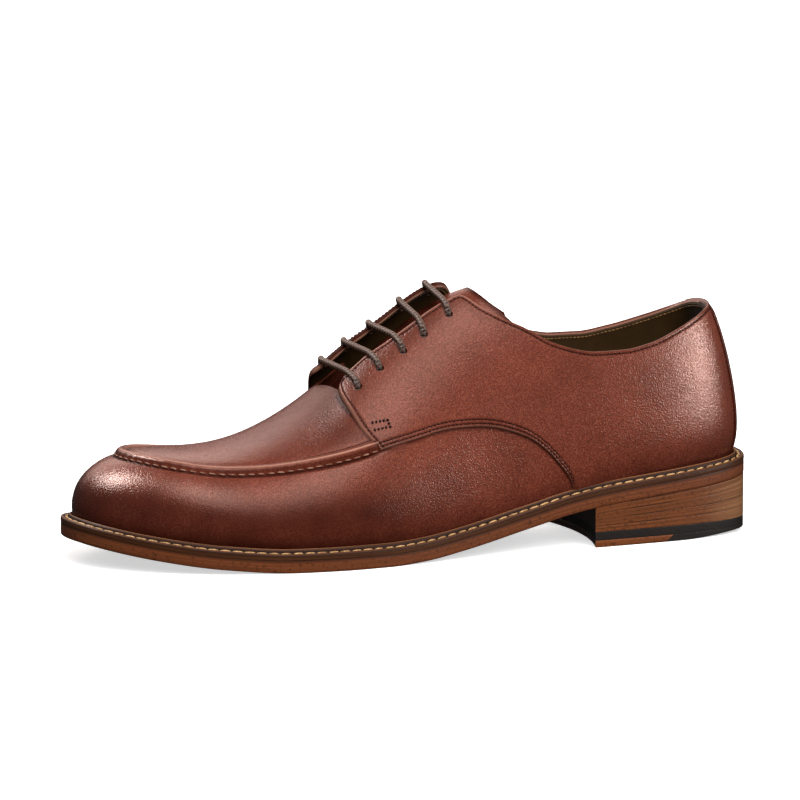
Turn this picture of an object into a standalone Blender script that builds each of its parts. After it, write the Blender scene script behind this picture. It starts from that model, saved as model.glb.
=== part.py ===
"""Lace-up shoe for the left foot: apron-toe upper, tongue, laces, welt, sole and stacked heel.

The toe points to -X, the outer side of the foot to -Y, and the shoe stands on Z = 0.
Sizes are in millimetres up to the last step, where a mesh is made in metres.
"""
import math

import bmesh
import bpy
import numpy as np

# Driving sizes
LENGTH = 300.0
GAP = 0.3
OUTSOLE_THICK = 5.2
WELT_THICK = 2.7
WELT_SHOWS = 5.0
UPPER_WALL = 2.2
INSOLE_THICK = 3.4
TOE_TIP_SIDE = 4.0

# Outline of the sole: distance from the back of the heel, half widths to each side
OUTLINE = {
    "from_heel": (4, 14, 30, 52, 80, 110, 140, 168, 195, 220, 245, 266, 283, 294),
    "outer": (19.4, 28.0, 33.2, 36.4, 38.8, 41.2, 45.6, 51.0, 54.2, 52.4, 47.0, 38.8, 27.4, 14.8),
    "inner": (18.6, 27.8, 32.8, 34.4, 33.2, 31.2, 32.4, 38.0, 46.0, 50.2, 49.4, 43.6, 34.0, 22.4),
}
# Underside of the outsole above the floor: heel seat, arch, ball and toe spring
SOLE_LINE = {
    "from_heel": (0, 40, 72, 88, 112, 140, 160, 176, 216, 245, 272, 300),
    "height": (25.0, 21.4, 18.4, 15.8, 10.0, 3.9, 0.9, 0.0, 0.0, 1.9, 5.6, 11.0),
}
# Top line of the last: height, and how far it lies to the inner side
RIDGE = {
    "from_heel": (15, 60, 95, 118, 130, 141, 152, 162, 172, 182, 195, 210, 228, 245, 262),
    "height": (118, 120, 117, 112.5, 109, 104.2, 97, 89.2, 80.8, 72, 61.8, 52.8, 46.4, 44.6, 44.6),
    "inner_side": (0, 0.5, 2.5, 5, 6.5, 7.5, 8, 8, 8, 7.8, 7.5, 7, 6.5, 6, 5.5),
}
# Side walls: how square the section is, and the swell just above the welt
WALLS = {
    "from_heel": (0, 40, 80, 120, 160, 200, 235, 265, 300),
    "fullness": (2.0, 2.0, 2.0, 2.0, 2.0, 2.2, 2.4, 2.3, 2.05),
    "swell": (2.6, 2.4, 1.8, 1.4, 2.2, 2.8, 3.0, 2.0, 0.6),
}
# Facings stand off the tongue, most at the front of the throat
LIFT = {
    "from_heel": (100, 120, 135, 150, 165, 178, 186, 198),
    "lift": (0.0, 0.6, 1.6, 2.2, 3.2, 4.6, 4.6, 0.0),
}
# Collar line up to the top of the facings
COLLAR = {
    "from_heel": (4, 10, 22, 35, 50, 63, 76, 84, 95, 106, 112, 118, 124, 130),
    "height": (98, 96.7, 93, 88.8, 83.8, 81.6, 81.4, 82.6, 86, 92.1, 94.8, 97.6, 101, 104.4),
}
SWELL_HEIGHT = 13.0
RIDGE_FRONT = 258.0
RIDGE_BACK = 42.0
FACING_TOP = 134.0
THROAT_FRONT = 190.0
THROAT_ROUND = 9.0
FACING_EDGE = {"outer": 0.82, "inner": 0.95}

# Tongue
TONGUE_FRONT = 203.0
TONGUE_TOP = 120.0
TONGUE_EDGE = 0.60
TONGUE_LEAN = 18.0
TONGUE_THICK = 2.0

# Lace crossings: eyelets to each side, first pair at the toe end
LACES = {
    "outer_from_heel": (177.5, 168.3, 158.2, 148.2, 136.8),
    "inner_from_heel": (187.5, 177.5, 166.0, 154.0, 142.5),
}
LACE_THICK = 2.8
EYELET_UP = {"outer": 0.70, "inner": 0.83}

# Heel: the breast is hollow, and the bottom layer is half leather and half rubber
HEEL_INSET = 0.5
BREAST = {"outer": 80.0, "inner": 76.5, "hollow": 5.0}
LIFT_COUNT = 4
TIP_THICK = 3.0
RUBBER_THICK = 3.6
TIP_JOINT = 46.5
TIP_JOINT_SLANT = 1.2

# Mesh fineness
STATIONS = 54
ROWS = 11


def curve(table, *columns):
    """Smooth curve through named columns of a table; gives a function of the first column."""
    x = np.array(table[columns[0]], float)
    y = np.array([table[name] for name in columns[1:]], float).T
    return spline(x, y, False)


def spline(x, y, closed):
    """Cubic spline through rows of y at x, natural at the ends or closed into a loop."""
    count = len(x)
    step = np.diff(x)
    slope = np.diff(y, axis=0) / step[:, None]
    matrix = np.zeros((count, count))
    right = np.zeros_like(y)
    for i in range(1, count - 1):
        matrix[i, i - 1:i + 2] = step[i - 1], 2 * (step[i - 1] + step[i]), step[i]
        right[i] = 6 * (slope[i] - slope[i - 1])
    if closed:
        matrix[0, 0] = 2 * (step[-1] + step[0])
        matrix[0, 1] = step[0]
        matrix[0, count - 2] = step[-1]
        right[0] = 6 * (slope[0] - slope[-1])
        matrix[-1, 0] = 1
        matrix[-1, -1] = -1
    else:
        matrix[0, 0] = 1
        matrix[-1, -1] = 1
    bend = np.linalg.solve(matrix, right)

    def at(t):
        t = np.clip(np.asarray(t, float), x[0], x[-1])
        i = np.clip(np.searchsorted(x, t) - 1, 0, count - 2)
        h = step[i][..., None]
        a = (x[i + 1] - t)[..., None] / h
        b = 1 - a
        bow = ((a ** 3 - a) * bend[i] + (b ** 3 - b) * bend[i + 1]) * h ** 2 / 6
        return a * y[i] + b * y[i + 1] + bow

    return at


def steady(table, *columns):
    """Curve through two columns that never overshoots, so a flat stretch stays flat."""
    x = np.array(table[columns[0]], float)
    y = np.array(table[columns[1]], float)
    step = np.diff(x)
    slope = np.diff(y) / step
    lean = np.r_[slope[0], np.zeros(len(x) - 2), slope[-1]]
    for i in range(1, len(x) - 1):
        if slope[i - 1] * slope[i] > 0:
            one = 2 * step[i] + step[i - 1]
            two = step[i] + 2 * step[i - 1]
            lean[i] = (one + two) / (one / slope[i - 1] + two / slope[i])

    def at(t):
        t = np.clip(np.asarray(t, float), x[0], x[-1])
        i = np.clip(np.searchsorted(x, t) - 1, 0, len(x) - 2)
        u = (t - x[i]) / step[i]
        ends = (1 + 2 * u) * (1 - u) ** 2 * y[i] + u * u * (3 - 2 * u) * y[i + 1]
        return ends + step[i] * u * (1 - u) * ((1 - u) * lean[i] - u * lean[i + 1])

    return at


def soft_step(low, high, x):
    """Rises smoothly from 0 at low to 1 at high."""
    t = np.clip((np.asarray(x, float) - low) / (high - low), 0, 1)
    return t * t * (3 - 2 * t)


def soft_min(a, b, blend):
    return 0.5 * (a + b - np.sqrt((a - b) ** 2 + blend * blend))


def soft_max(a, b, blend):
    return 0.5 * (a + b + np.sqrt((a - b) ** 2 + blend * blend))


def make_outline():
    """Outer side and inner side of the sole, each from heel to toe: points and inward normals."""
    heel_to_toe = list(zip(OUTLINE["from_heel"], OUTLINE["outer"], OUTLINE["inner"]))
    outer = [(s, -o) for s, o, _ in heel_to_toe]
    inner = [(s, i) for s, _, i in reversed(heel_to_toe)]
    points = np.array([(0, 0)] + outer + [(LENGTH, TOE_TIP_SIDE)] + inner + [(0, 0)], float)
    knots = np.r_[0, np.cumsum(np.sqrt(np.hypot(*np.diff(points, axis=0).T)))]
    loop = spline(knots, points, True)(np.linspace(0, knots[-1], 4001))[:-1]
    ahead = np.roll(loop, -1, axis=0) - np.roll(loop, 1, axis=0)
    ahead /= np.hypot(*ahead.T)[:, None]
    rows = np.c_[loop, -ahead[:, 1], ahead[:, 0]]
    rows = np.roll(rows, -int(np.argmin(loop[:, 0])), axis=0)
    tip = int(np.argmax(rows[:, 0]))
    return {"outer": rows[:tip + 1], "inner": np.r_[rows[tip:], rows[:1]][::-1]}


SIDES = make_outline()
MIDDLE = 0.5 * (SIDES["outer"][:, 1].min() + SIDES["inner"][:, 1].max())
sole_line = steady(SOLE_LINE, "from_heel", "height")
ridge_line = curve(RIDGE, "from_heel", "height", "inner_side")
wall_shape = curve(WALLS, "from_heel", "fullness", "swell")
facing_lift = steady(LIFT, "from_heel", "lift")
collar_line = steady(COLLAR, "from_heel", "height")


def welt_top(s):
    return sole_line(s) + OUTSOLE_THICK + GAP + WELT_THICK


def rim(side, from_heel):
    """Outline point and inward normal where the foot of the upper is from_heel along."""
    rows = SIDES[side]
    foot = rows[:, 0] + WELT_SHOWS * rows[:, 2]
    where = np.interp(from_heel, foot, np.arange(len(rows)))
    return [np.interp(where, np.arange(len(rows)), rows[:, i]) for i in range(4)]


def foot_range():
    rows = SIDES["outer"]
    foot = rows[:, 0] + WELT_SHOWS * rows[:, 2]
    return foot[0], foot[-1]


def last(side, from_heel, up, out):
    """Point of the last: up is 0 at the welt and 1 at the ridge, out is how far proud of it."""
    from_heel, up, out = np.broadcast_arrays(*(np.asarray(v, float) for v in (from_heel, up, out)))
    s, y, toward_s, toward_y = rim(side, from_heel)
    s = s + (WELT_SHOWS - out) * toward_s
    y = y + (WELT_SHOWS - out) * toward_y
    low = welt_top(s) + GAP
    top_s = soft_max(soft_min(from_heel, RIDGE_FRONT, 10.0), RIDGE_BACK, 10.0)
    top = ridge_line(top_s)
    shape = wall_shape(from_heel)
    turn = up * math.pi / 2
    across = 1 - np.clip(np.cos(turn), 0, 1) ** (2 / shape[..., 0])
    rise = np.sin(turn) ** (2 / shape[..., 0]) * (top[..., 0] + out - low)
    swell = shape[..., 1] * rise / SWELL_HEIGHT * np.exp(1 - rise / SWELL_HEIGHT)
    s = s + across * (top_s - s) - toward_s * swell
    y = y + across * (top[..., 1] - y) - toward_y * swell
    return np.stack([s, y, low + rise], -1)


def raised(from_heel, up):
    """How far the facings stand proud at this place."""
    return facing_lift(from_heel) * soft_step(0.45, 0.95, up)


def up_at_height(side, from_heel, height):
    """Place up the wall that has this height."""
    s, _, toward_s, _ = rim(side, from_heel)
    low = welt_top(s + WELT_SHOWS * toward_s) + GAP
    top_s = soft_max(soft_min(from_heel, RIDGE_FRONT, 10.0), RIDGE_BACK, 10.0)
    part = (height - low) / (ridge_line(top_s)[..., 0] - low)
    return np.arcsin(np.clip(part, 0, 1) ** (wall_shape(from_heel)[..., 0] / 2)) * 2 / math.pi


def upper_edge(side, from_heel):
    """Top edge of the upper: collar, then facing, then the closed vamp."""
    if from_heel > THROAT_FRONT:
        return 1.0
    if from_heel > FACING_TOP:
        open_part = 1 - FACING_EDGE[side]
        ahead = min((THROAT_FRONT - from_heel) / THROAT_ROUND, 1.0)
        return 1 - open_part * math.sqrt(ahead * (2 - ahead))
    collar = float(up_at_height(side, from_heel, collar_line(from_heel)))
    blend = float(soft_step(124.0, FACING_TOP, from_heel))
    return collar + blend * (FACING_EDGE[side] - collar)


def place(points):
    """Millimetres along the foot to metres in the part's frame."""
    points = np.asarray(points, float)
    return np.stack([LENGTH / 2 - points[..., 0], points[..., 1] - MIDDLE, points[..., 2]], -1) / 1000


def make_object(name, corners, faces, material):
    """One closed mesh with outward faces, its doubled corners joined."""
    shape = bmesh.new()
    made = [shape.verts.new(corner) for corner in place(corners)]
    for face in faces:
        shape.faces.new([made[i] for i in face])
    bmesh.ops.remove_doubles(shape, verts=shape.verts, dist=1e-6)
    bmesh.ops.triangulate(shape, faces=shape.faces)
    bmesh.ops.recalc_face_normals(shape, faces=shape.faces)
    mesh = bpy.data.meshes.new(name)
    shape.to_mesh(mesh)
    shape.free()
    mesh.materials.append(material)
    item = bpy.data.objects.new(name, mesh)
    bpy.context.scene.collection.objects.link(item)


def border(rows, columns):
    """Indices round the edge of a grid, in order."""
    near = [(0, j) for j in range(columns)]
    right = [(i, columns - 1) for i in range(1, rows)]
    far = [(rows - 1, j) for j in range(columns - 2, -1, -1)]
    left = [(i, 0) for i in range(rows - 2, 0, -1)]
    return [i * columns + j for i, j in near + right + far + left]


def add_slab(name, upper_face, lower_face, material):
    """Body between two grids of points that match row by row."""
    rows, columns = upper_face.shape[:2]
    count = rows * columns
    faces = []
    for i in range(rows - 1):
        for j in range(columns - 1):
            a = i * columns + j
            quad = (a, a + 1, a + columns + 1, a + columns)
            faces.append(quad)
            faces.append(tuple(count + k for k in reversed(quad)))
    edge = border(rows, columns)
    for a, b in zip(edge, edge[1:] + edge[:1]):
        faces.append((b, a, count + a, count + b))
    corners = np.concatenate([upper_face.reshape(-1, 3), lower_face.reshape(-1, 3)])
    make_object(name, corners, faces, material)


def add_tube(name, sections, material):
    """Closed tube through rings of points."""
    rows, columns = sections.shape[:2]
    faces = [tuple(reversed(range(columns))), tuple(range((rows - 1) * columns, rows * columns))]
    for i in range(rows - 1):
        for j in range(columns):
            k = (j + 1) % columns
            faces.append((i * columns + j, i * columns + k, (i + 1) * columns + k, (i + 1) * columns + j))
    make_object(name, sections.reshape(-1, 3), faces, material)


def make_material(name, colour, roughness):
    """Plain material in the colour that the eye sees, given as red, green and blue of 255."""
    material = bpy.data.materials.new(name)
    material.use_nodes = True
    shader = material.node_tree.nodes["Principled BSDF"]
    linear = [((c / 255 + 0.055) / 1.055) ** 2.4 if c > 10 else c / 255 / 12.92 for c in colour]
    shader.inputs["Base Color"].default_value = (*linear, 1.0)
    shader.inputs["Roughness"].default_value = roughness
    material.diffuse_color = (*linear, 1.0)
    return material


def side_edge(side, inset, s):
    """Half-width line of the outline moved inwards."""
    rows = SIDES[side]
    return np.interp(s, rows[:, 0] + inset * rows[:, 2], rows[:, 1] + inset * rows[:, 3])


def sole_grid(inset, across, height):
    """Grid over the outline from heel to toe; height is a function of the distance from the heel."""
    rows = SIDES["outer"]
    ends = rows[0, 0] + inset * rows[0, 2], rows[-1, 0] + inset * rows[-1, 2]
    turn = np.linspace(0, math.pi, STATIONS + 1)
    s = ends[0] + (ends[1] - ends[0]) * (1 - np.cos(turn)) / 2
    outer = side_edge("outer", inset, s)
    inner = side_edge("inner", inset, s)
    outer[[0, -1]] = inner[[0, -1]] = (outer[[0, -1]] + inner[[0, -1]]) / 2
    share = np.linspace(0, 1, across)
    y = outer[:, None] + share * (inner - outer)[:, None]
    along = np.broadcast_to(s[:, None], y.shape)
    return np.stack([along, y, height(along)], -1)


def add_sole(material):
    top = sole_grid(0.0, 3, lambda s: sole_line(s) + OUTSOLE_THICK)
    bottom = sole_grid(0.0, 3, sole_line)
    add_slab("outsole", top, bottom, material)


def add_insole(material):
    inset = WELT_SHOWS + UPPER_WALL + 2 * GAP
    base = OUTSOLE_THICK + GAP
    top = sole_grid(inset, 3, lambda s: sole_line(s) + base + INSOLE_THICK)
    bottom = sole_grid(inset, 3, lambda s: sole_line(s) + base)
    add_slab("insole", top, bottom, material)


def add_welt(material):
    """Ring from the edge of the sole in to just outside the insole."""
    turn = np.linspace(0, math.pi, STATIONS + 1)
    share = (1 - np.cos(turn)) / 2
    sections = []
    for side, order in (("outer", share), ("inner", share[::-1][1:-1])):
        rows = SIDES[side]
        where = np.interp(order * rows[-1, 0], rows[:, 0], np.arange(len(rows)))
        s, y, toward_s, toward_y = (np.interp(where, np.arange(len(rows)), rows[:, i]) for i in range(4))
        for k in range(len(order)):
            section = []
            for inset, level in ((0.0, 0), (0.0, 1), (WELT_SHOWS + UPPER_WALL + GAP, 1),
                                 (WELT_SHOWS + UPPER_WALL + GAP, 0)):
                here = s[k] + inset * toward_s[k]
                height = sole_line(here) + OUTSOLE_THICK + GAP + level * WELT_THICK
                section.append((here, y[k] + inset * toward_y[k], float(height)))
            sections.append(section)
    sections = np.array(sections)
    count = len(sections)
    faces = []
    for i in range(count):
        for j in range(4):
            a, b = i * 4, (i + 1) % count * 4
            k = (j + 1) % 4
            faces.append((a + j, a + k, b + k, b + j))
    make_object("welt", sections.reshape(-1, 3), faces, material)


def wall_stations():
    """Places along the foot of the upper, closer together at the heel and toe and at the throat."""
    start, end = foot_range()
    turn = np.linspace(0, math.pi, STATIONS + 1)
    s = start + (end - start) * (1 - np.cos(turn)) / 2
    throat = int(np.argmin(abs(s - THROAT_FRONT)))
    s[throat] = THROAT_FRONT
    return s


def upper_grid(side, s, out):
    """Grid up one side of the upper, from heel to toe."""
    rows = []
    for here in s:
        up = np.linspace(0, 1, ROWS + 1) ** 0.9 * upper_edge(side, here)
        rows.append(last(side, here, up, out + raised(here, up)))
    return np.array(rows)


def add_upper(material):
    """Two sides joined at heel, toe and along the closed vamp, with one wall thickness."""
    s = wall_stations()
    columns = ROWS + 1
    rows = len(s)
    half = rows * columns
    grids = [upper_grid(side, s, out) for out in (0.0, -UPPER_WALL) for side in ("outer", "inner")]
    for one, two in ((0, 1), (2, 3)):
        closed = s >= THROAT_FRONT
        for index in (0, -1):
            middle = (grids[one][index] + grids[two][index]) / 2
            grids[one][index] = grids[two][index] = middle
        ridge = (grids[one][closed, -1] + grids[two][closed, -1]) / 2
        grids[one][closed, -1] = grids[two][closed, -1] = ridge
    corners = np.concatenate([grid.reshape(-1, 3) for grid in grids])
    faces = []
    for side in (0, 1):
        outside = side * half
        inside = (side + 2) * half
        for i in range(rows - 1):
            for j in range(ROWS):
                a = i * columns + j
                quad = (a, a + 1, a + columns + 1, a + columns)
                quad = quad if side else quad[::-1]
                faces.append(tuple(outside + k for k in quad))
                faces.append(tuple(inside + k for k in reversed(quad)))
            for j in (0, ROWS):
                if j == ROWS and s[i] >= THROAT_FRONT:
                    continue
                a, b = i * columns + j, (i + 1) * columns + j
                faces.append((outside + a, outside + b, inside + b, inside + a))
    make_object("upper", corners, faces, material)


def add_tongue(material):
    """Strip under the lacing that runs in below the front of the throat."""
    up = np.linspace(TONGUE_EDGE, 1, 8)
    layers = []
    under = -UPPER_WALL - 2 * GAP
    for out in (under, under - TONGUE_THICK):
        rows = []
        for here in np.linspace(TONGUE_FRONT, TONGUE_TOP, 22):
            back = here - TONGUE_LEAN * (1 - up)
            outer = last("outer", back, up, out)
            inner = last("inner", back, up, out)
            rows.append(np.concatenate([outer[:-1], inner[::-1]]))
        layers.append(np.array(rows))
    add_slab("tongue", layers[0], layers[1], material)


def lace_path(number):
    """Centre line of one crossing, over the outer facing, the throat and the inner facing."""
    outer_s = LACES["outer_from_heel"][number]
    inner_s = LACES["inner_from_heel"][number]
    span = np.linspace(0, 1, 13)
    proud = LACE_THICK / 2 + 2 * GAP
    turn = EYELET_UP["outer"] + span * (2 - EYELET_UP["outer"] - EYELET_UP["inner"])
    points = []
    for part, over in zip(span, turn):
        here = outer_s + part * (inner_s - outer_s)
        side, up = ("outer", over) if over <= 1 else ("inner", 2 - over)
        points.append(last(side, here, up, proud + raised(here, up)))
    return np.array(points)


def add_lace(number, material):
    path = lace_path(number)
    ahead = np.gradient(path, axis=0)
    ahead /= np.linalg.norm(ahead, axis=1)[:, None]
    along = np.cross(ahead, (0, 0, 1))
    along /= np.linalg.norm(along, axis=1)[:, None]
    away = np.cross(along, ahead)
    turn = np.linspace(0, 2 * math.pi, 8, endpoint=False)
    ring = np.cos(turn)[:, None, None] * along + np.sin(turn)[:, None, None] * away
    sections = path[:, None] + LACE_THICK / 2 * ring.transpose(1, 0, 2)
    add_tube("lace_bar_%d" % (number + 1), sections, material)


def heel_grid(height, start=0.0, end=None):
    """Grid over the heel, from its back or a cross line to its hollow breast or a cross line."""
    share = np.linspace(0, 1, 7)
    if end is None:
        front = BREAST["outer"] + share * (BREAST["inner"] - BREAST["outer"])
        front = front - BREAST["hollow"] * 4 * share * (1 - share)
    else:
        front = np.full_like(share, end)
    start = max(start, HEEL_INSET)
    steps = np.linspace(0, 1, 12) ** (2 if start == HEEL_INSET else 1)
    s = start + steps[:, None] * (front - start)
    outer = side_edge("outer", HEEL_INSET, s)
    inner = side_edge("inner", HEEL_INSET, s)
    if start == HEEL_INSET:
        outer[0] = inner[0] = 0.0
    return np.stack([s, outer + share * (inner - outer), height(s)], -1)


def add_heel(leather, rubber):
    joint = TIP_JOINT
    slant = TIP_JOINT_SLANT * TIP_THICK
    flat = TIP_THICK * 1.0
    add_slab("heel_tip_back", heel_grid(lambda s: 0 * s + flat, end=joint - slant - GAP),
             heel_grid(lambda s: 0 * s, end=joint - GAP), rubber)
    add_slab("heel_tip_front", heel_grid(lambda s: 0 * s + flat, start=joint - slant),
             heel_grid(lambda s: 0 * s, start=joint), leather)
    low = flat + GAP
    add_slab("heel_rubber", heel_grid(lambda s: 0 * s + low + RUBBER_THICK), heel_grid(lambda s: 0 * s + low),
             rubber)
    low += RUBBER_THICK
    for number in range(LIFT_COUNT):
        def level(s, step, trim):
            return low + (sole_line(s) - low) * step / LIFT_COUNT + trim

        top = heel_grid(lambda s: level(s, number + 1, -GAP / 2 - (GAP / 2 if number == LIFT_COUNT - 1 else 0)))
        bottom = heel_grid(lambda s: level(s, number, GAP / 2 + (GAP / 2 if number == 0 else 0)))
        add_slab("heel_lift_%d" % (number + 1), top, bottom, leather)


def main():
    for item in list(bpy.data.objects):
        bpy.data.objects.remove(item, do_unlink=True)
    add_sole(make_material("sole leather", (134, 96, 68), 0.6))
    add_welt(make_material("welt leather", (74, 47, 36), 0.5))
    add_insole(make_material("insole leather", (96, 70, 52), 0.8))
    add_upper(make_material("upper leather", (112, 52, 40), 0.38))
    add_tongue(make_material("tongue leather", (104, 50, 38), 0.5))
    lace = make_material("lace cord", (92, 74, 62), 0.6)
    for number in range(len(LACES["outer_from_heel"])):
        add_lace(number, lace)
    add_heel(make_material("heel leather", (120, 82, 58), 0.55), make_material("heel rubber", (52, 48, 46), 0.7))


main()
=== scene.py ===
import math

import bmesh
import bpy
import numpy as np
from bpy.props import FloatProperty, FloatVectorProperty, PointerProperty
from bpy.types import Operator, Panel, PropertyGroup
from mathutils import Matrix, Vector


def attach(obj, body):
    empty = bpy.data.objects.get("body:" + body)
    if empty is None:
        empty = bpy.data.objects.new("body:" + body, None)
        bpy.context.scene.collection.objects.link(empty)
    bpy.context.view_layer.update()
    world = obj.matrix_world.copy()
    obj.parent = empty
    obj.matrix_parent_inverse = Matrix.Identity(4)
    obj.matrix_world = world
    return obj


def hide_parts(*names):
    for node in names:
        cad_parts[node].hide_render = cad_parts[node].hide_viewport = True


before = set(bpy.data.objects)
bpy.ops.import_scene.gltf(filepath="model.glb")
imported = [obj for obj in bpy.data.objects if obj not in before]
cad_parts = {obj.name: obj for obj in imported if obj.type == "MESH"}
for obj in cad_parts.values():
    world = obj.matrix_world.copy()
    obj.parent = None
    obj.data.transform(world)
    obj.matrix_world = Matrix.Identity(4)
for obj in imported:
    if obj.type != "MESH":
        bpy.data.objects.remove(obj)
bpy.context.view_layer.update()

bl_info = {
    "name": "Lace-up Shoe",
    "version": (1, 0, 0),
    "blender": (4, 5, 0),
    "location": "View3D > Sidebar > Shoe",
    "description": "Builds the leather, thread, laces and sole of a lace-up shoe over its solid model",
    "category": "Add Mesh",
}

# Millimetres in a metre
MM = 1000
BOTH_SIDES = ("outer", "inner")
# Sizes of the last and the sole in millimetres
LENGTH = 300.0
GAP = 0.3
OUTSOLE_THICK = 5.2
WELT_THICK = 2.7
WELT_SHOWS = 5.0
UPPER_WALL = 2.2
TOE_TIP_SIDE = 4.0
SWELL_HEIGHT = 13.0
RIDGE_FRONT = 258.0
RIDGE_BACK = 38.0
OUTLINE = {
    "from_heel": (4, 14, 30, 52, 80, 110, 140, 168, 195, 220, 245, 266, 283, 294),
    "outer": (19.4, 28.0, 33.2, 36.4, 38.8, 41.2, 45.6, 51.0, 54.2, 52.4, 47.0, 38.8, 27.4, 14.8),
    "inner": (18.6, 27.8, 32.8, 34.4, 33.2, 31.2, 32.4, 38.0, 46.0, 50.2, 49.4, 43.6, 34.0, 22.4),
}
SOLE_LINE = {
    "from_heel": (0, 14, 40, 72, 88, 112, 140, 160, 176, 216, 245, 272, 300),
    "height": (25.5, 23.5, 20.9, 17.9, 15.5, 10.0, 3.9, 0.9, 0.0, 0.0, 1.9, 5.6, 11.0),
}
RIDGE = {
    "from_heel": (15, 60, 95, 118, 130, 141, 152, 162, 172, 182, 195, 210, 228, 245, 262),
    "height": (118, 120, 117, 112.5, 109, 104.2, 97, 89.2, 80.8, 72, 61.8, 52.8, 46.4, 44.8, 45.5),
    "inner_side": (0, 0.5, 2.5, 5, 6.5, 7.5, 8, 8, 8, 7.8, 7.5, 7, 6.5, 6, 5.5),
}
WALLS = {
    "from_heel": (0, 40, 80, 120, 160, 200, 235, 265, 300),
    "fullness": (2.0, 2.0, 2.0, 2.0, 2.0, 2.2, 2.4, 2.65, 2.4),
    "swell": (0.7, 2.0, 1.8, 1.4, 2.2, 2.8, 3.0, 2.0, 0.6),
}
COLLAR = {
    "from_heel": (4, 10, 22, 35, 50, 63, 76, 84, 95, 106, 112, 118, 124, 130),
    "outer": (98, 96.7, 93, 88.8, 83.8, 81.6, 81.4, 82.6, 86, 92.1, 94.8, 97.6, 101, 104.4),
    "inner": (98, 95.6, 91.9, 88.6, 85.1, 83.1, 83.1, 84.2, 87.5, 92.9, 95.2, 97.6, 101, 104.4),
}
# Facings stand off the tongue, most at the front of the throat
LIFT = {
    "from_heel": (100, 120, 130, 137, 145, 150, 157, 165, 178, 190, 200),
    "outer": (0.0, 0.6, 1.2, 1.7, 2.0, 2.2, 2.6, 3.2, 5.0, 6.2, 6.6),
    "inner": (0.0, -0.5, 0.0, 1.5, 1.9, 2.0, 2.3, 3.3, 5.8, 6.6, 6.8),
}
FACING_TOP = 134.0
FACING_EDGE = {
    "from_heel": (120, 137, 143, 152, 163, 174, 180, 195),
    "outer": (0.79, 0.796, 0.793, 0.792, 0.804, 0.823, 0.822, 0.816),
    "inner": (0.985, 0.985, 0.985, 0.985, 0.985, 0.985, 0.985, 0.985),
}

# Seams as places up the wall, 0 at the welt and 1 at the ridge
APRON_SEAM = {
    "from_heel": (80, 150, 180, 195, 213, 233, 245, 258, 270, 283, 296),
    "up": (0.34, 0.365, 0.403, 0.449, 0.52, 0.588, 0.615, 0.657, 0.70, 0.743, 0.772),
}
APRON_LIP = {
    "across": (-6, -4.4, -3.4, -2.6, -1.6, -0.4, 0.8, 1.6, 2.4, 3.1, 4.5, 7),
    "rise": (0, -0.05, -0.6, -0.1, 0.95, 1.8, 2.1, 1.95, 1.2, 0.0, 0.05, 0.2),
}
APRON_ROW = -2.4
APRON_THREAD = 0.7
QUARTER_SEAM = {
    "from_heel": (88.5, 90, 95, 101, 108, 115.5, 126.7, 138, 149.3, 162.6, 176.3),
    "up": (0.0, 0.03, 0.085, 0.139, 0.187, 0.222, 0.263, 0.292, 0.318, 0.340, 0.368),
}
# Front edge of a facing, from the seam's corner up: how far it runs ahead of that corner
FACING_FRONT = {
    "share": (0, 0.24, 0.51, 0.75, 0.88, 0.95, 1.0),
    "ahead": (0, 4.9, 7.9, 9.8, 10.0, 8.4, 4.6),
}
CORNER = {"outer": 176.3, "inner": 178.6}
# Where the apron's lip rises from under the facings
LIP_START = (170.0, 183.0)
# Distances of stitch rows from the edges that they follow
SEAM_ROWS = (1.2, 2.9)
FRONT_ROW = 1.2
COLLAR_ROW = 1.9
FACING_ROW = 2.0
LINING_ROW = 1.3
BACKSTAY_SEAM = 1.4
# Strip up the back: half its width, its rows, and its columns by their distance from the edge
BACKSTAY = 19.0
BACKSTAY_ROWS = 60
BACKSTAY_COLUMNS = (BACKSTAY, 16.5, 14, 11.5, 9, 7, 5.5, 4.2, 3.2, 2.4, 1.8, 1.4, 1.1, 0.8, 0.5, 0.25, 0.1, 0)
# How deep the backs of vamp and quarters lie under the last's face, and both faces of the lining
VAMP_DEPTH = 0.9
QUARTER_DEPTH = 1.1
LINING_DEPTHS = (1.05, 1.7)
# Distance that stands for nowhere near
FAR = 99.0
# Places of the vamp's end, the throat and the tongue
VAMP_BACK = 84.0
THROAT = (183.0, 187.5)
TONGUE_FRONT = 203.0
TONGUE_TOP = 121.0
TONGUE_EDGE = 0.60
TONGUE_LEAN = {"outer": 85.0, "inner": 125.0}
# How deep the tongue lies under the line of the last
TONGUE_DEPTH = {
    "from_heel": (118, 128, 140, 155, 175, 190, 203),
    "depth": (4.6, 4.8, 6.0, 7.0, 7.0, 5.0, 3.0),
}
# Eyelets, toe to top: place along the foot and up the wall
EYELETS = {
    "outer": ((179.5, 0.699), (169.3, 0.699), (158.6, 0.689), (148.9, 0.691), (137.0, 0.712)),
    "inner": ((183.0, 0.83), (173.0, 0.83), (162.0, 0.83), (148.5, 0.83), (137.0, 0.83)),
}
# Where each lace crosses the crest of the inner facing
LACE_CREST = (185.0, 175.0, 164.0, 150.5, 139.0)
CREST_UP = 0.95
# Stitched tack that holds the corner of each facing
TACK = {"from_heel": (177.9, 171.6, 171.2, 177.7), "up": (0.499, 0.466, 0.434, 0.463)}

# Heel
HEEL_INSET = 0.1
BREAST = {"outer": 80.0, "inner": 76.5, "hollow": 5.0}
LIFT_COUNT = 4
TIP_THICK = 3.0
RUBBER_THICK = 3.6
TIP_JOINT = 46.5
TIP_JOINT_SLANT = 1.2
TIP_BEVEL = 1.8
BREAST_STEPS = 39

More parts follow.
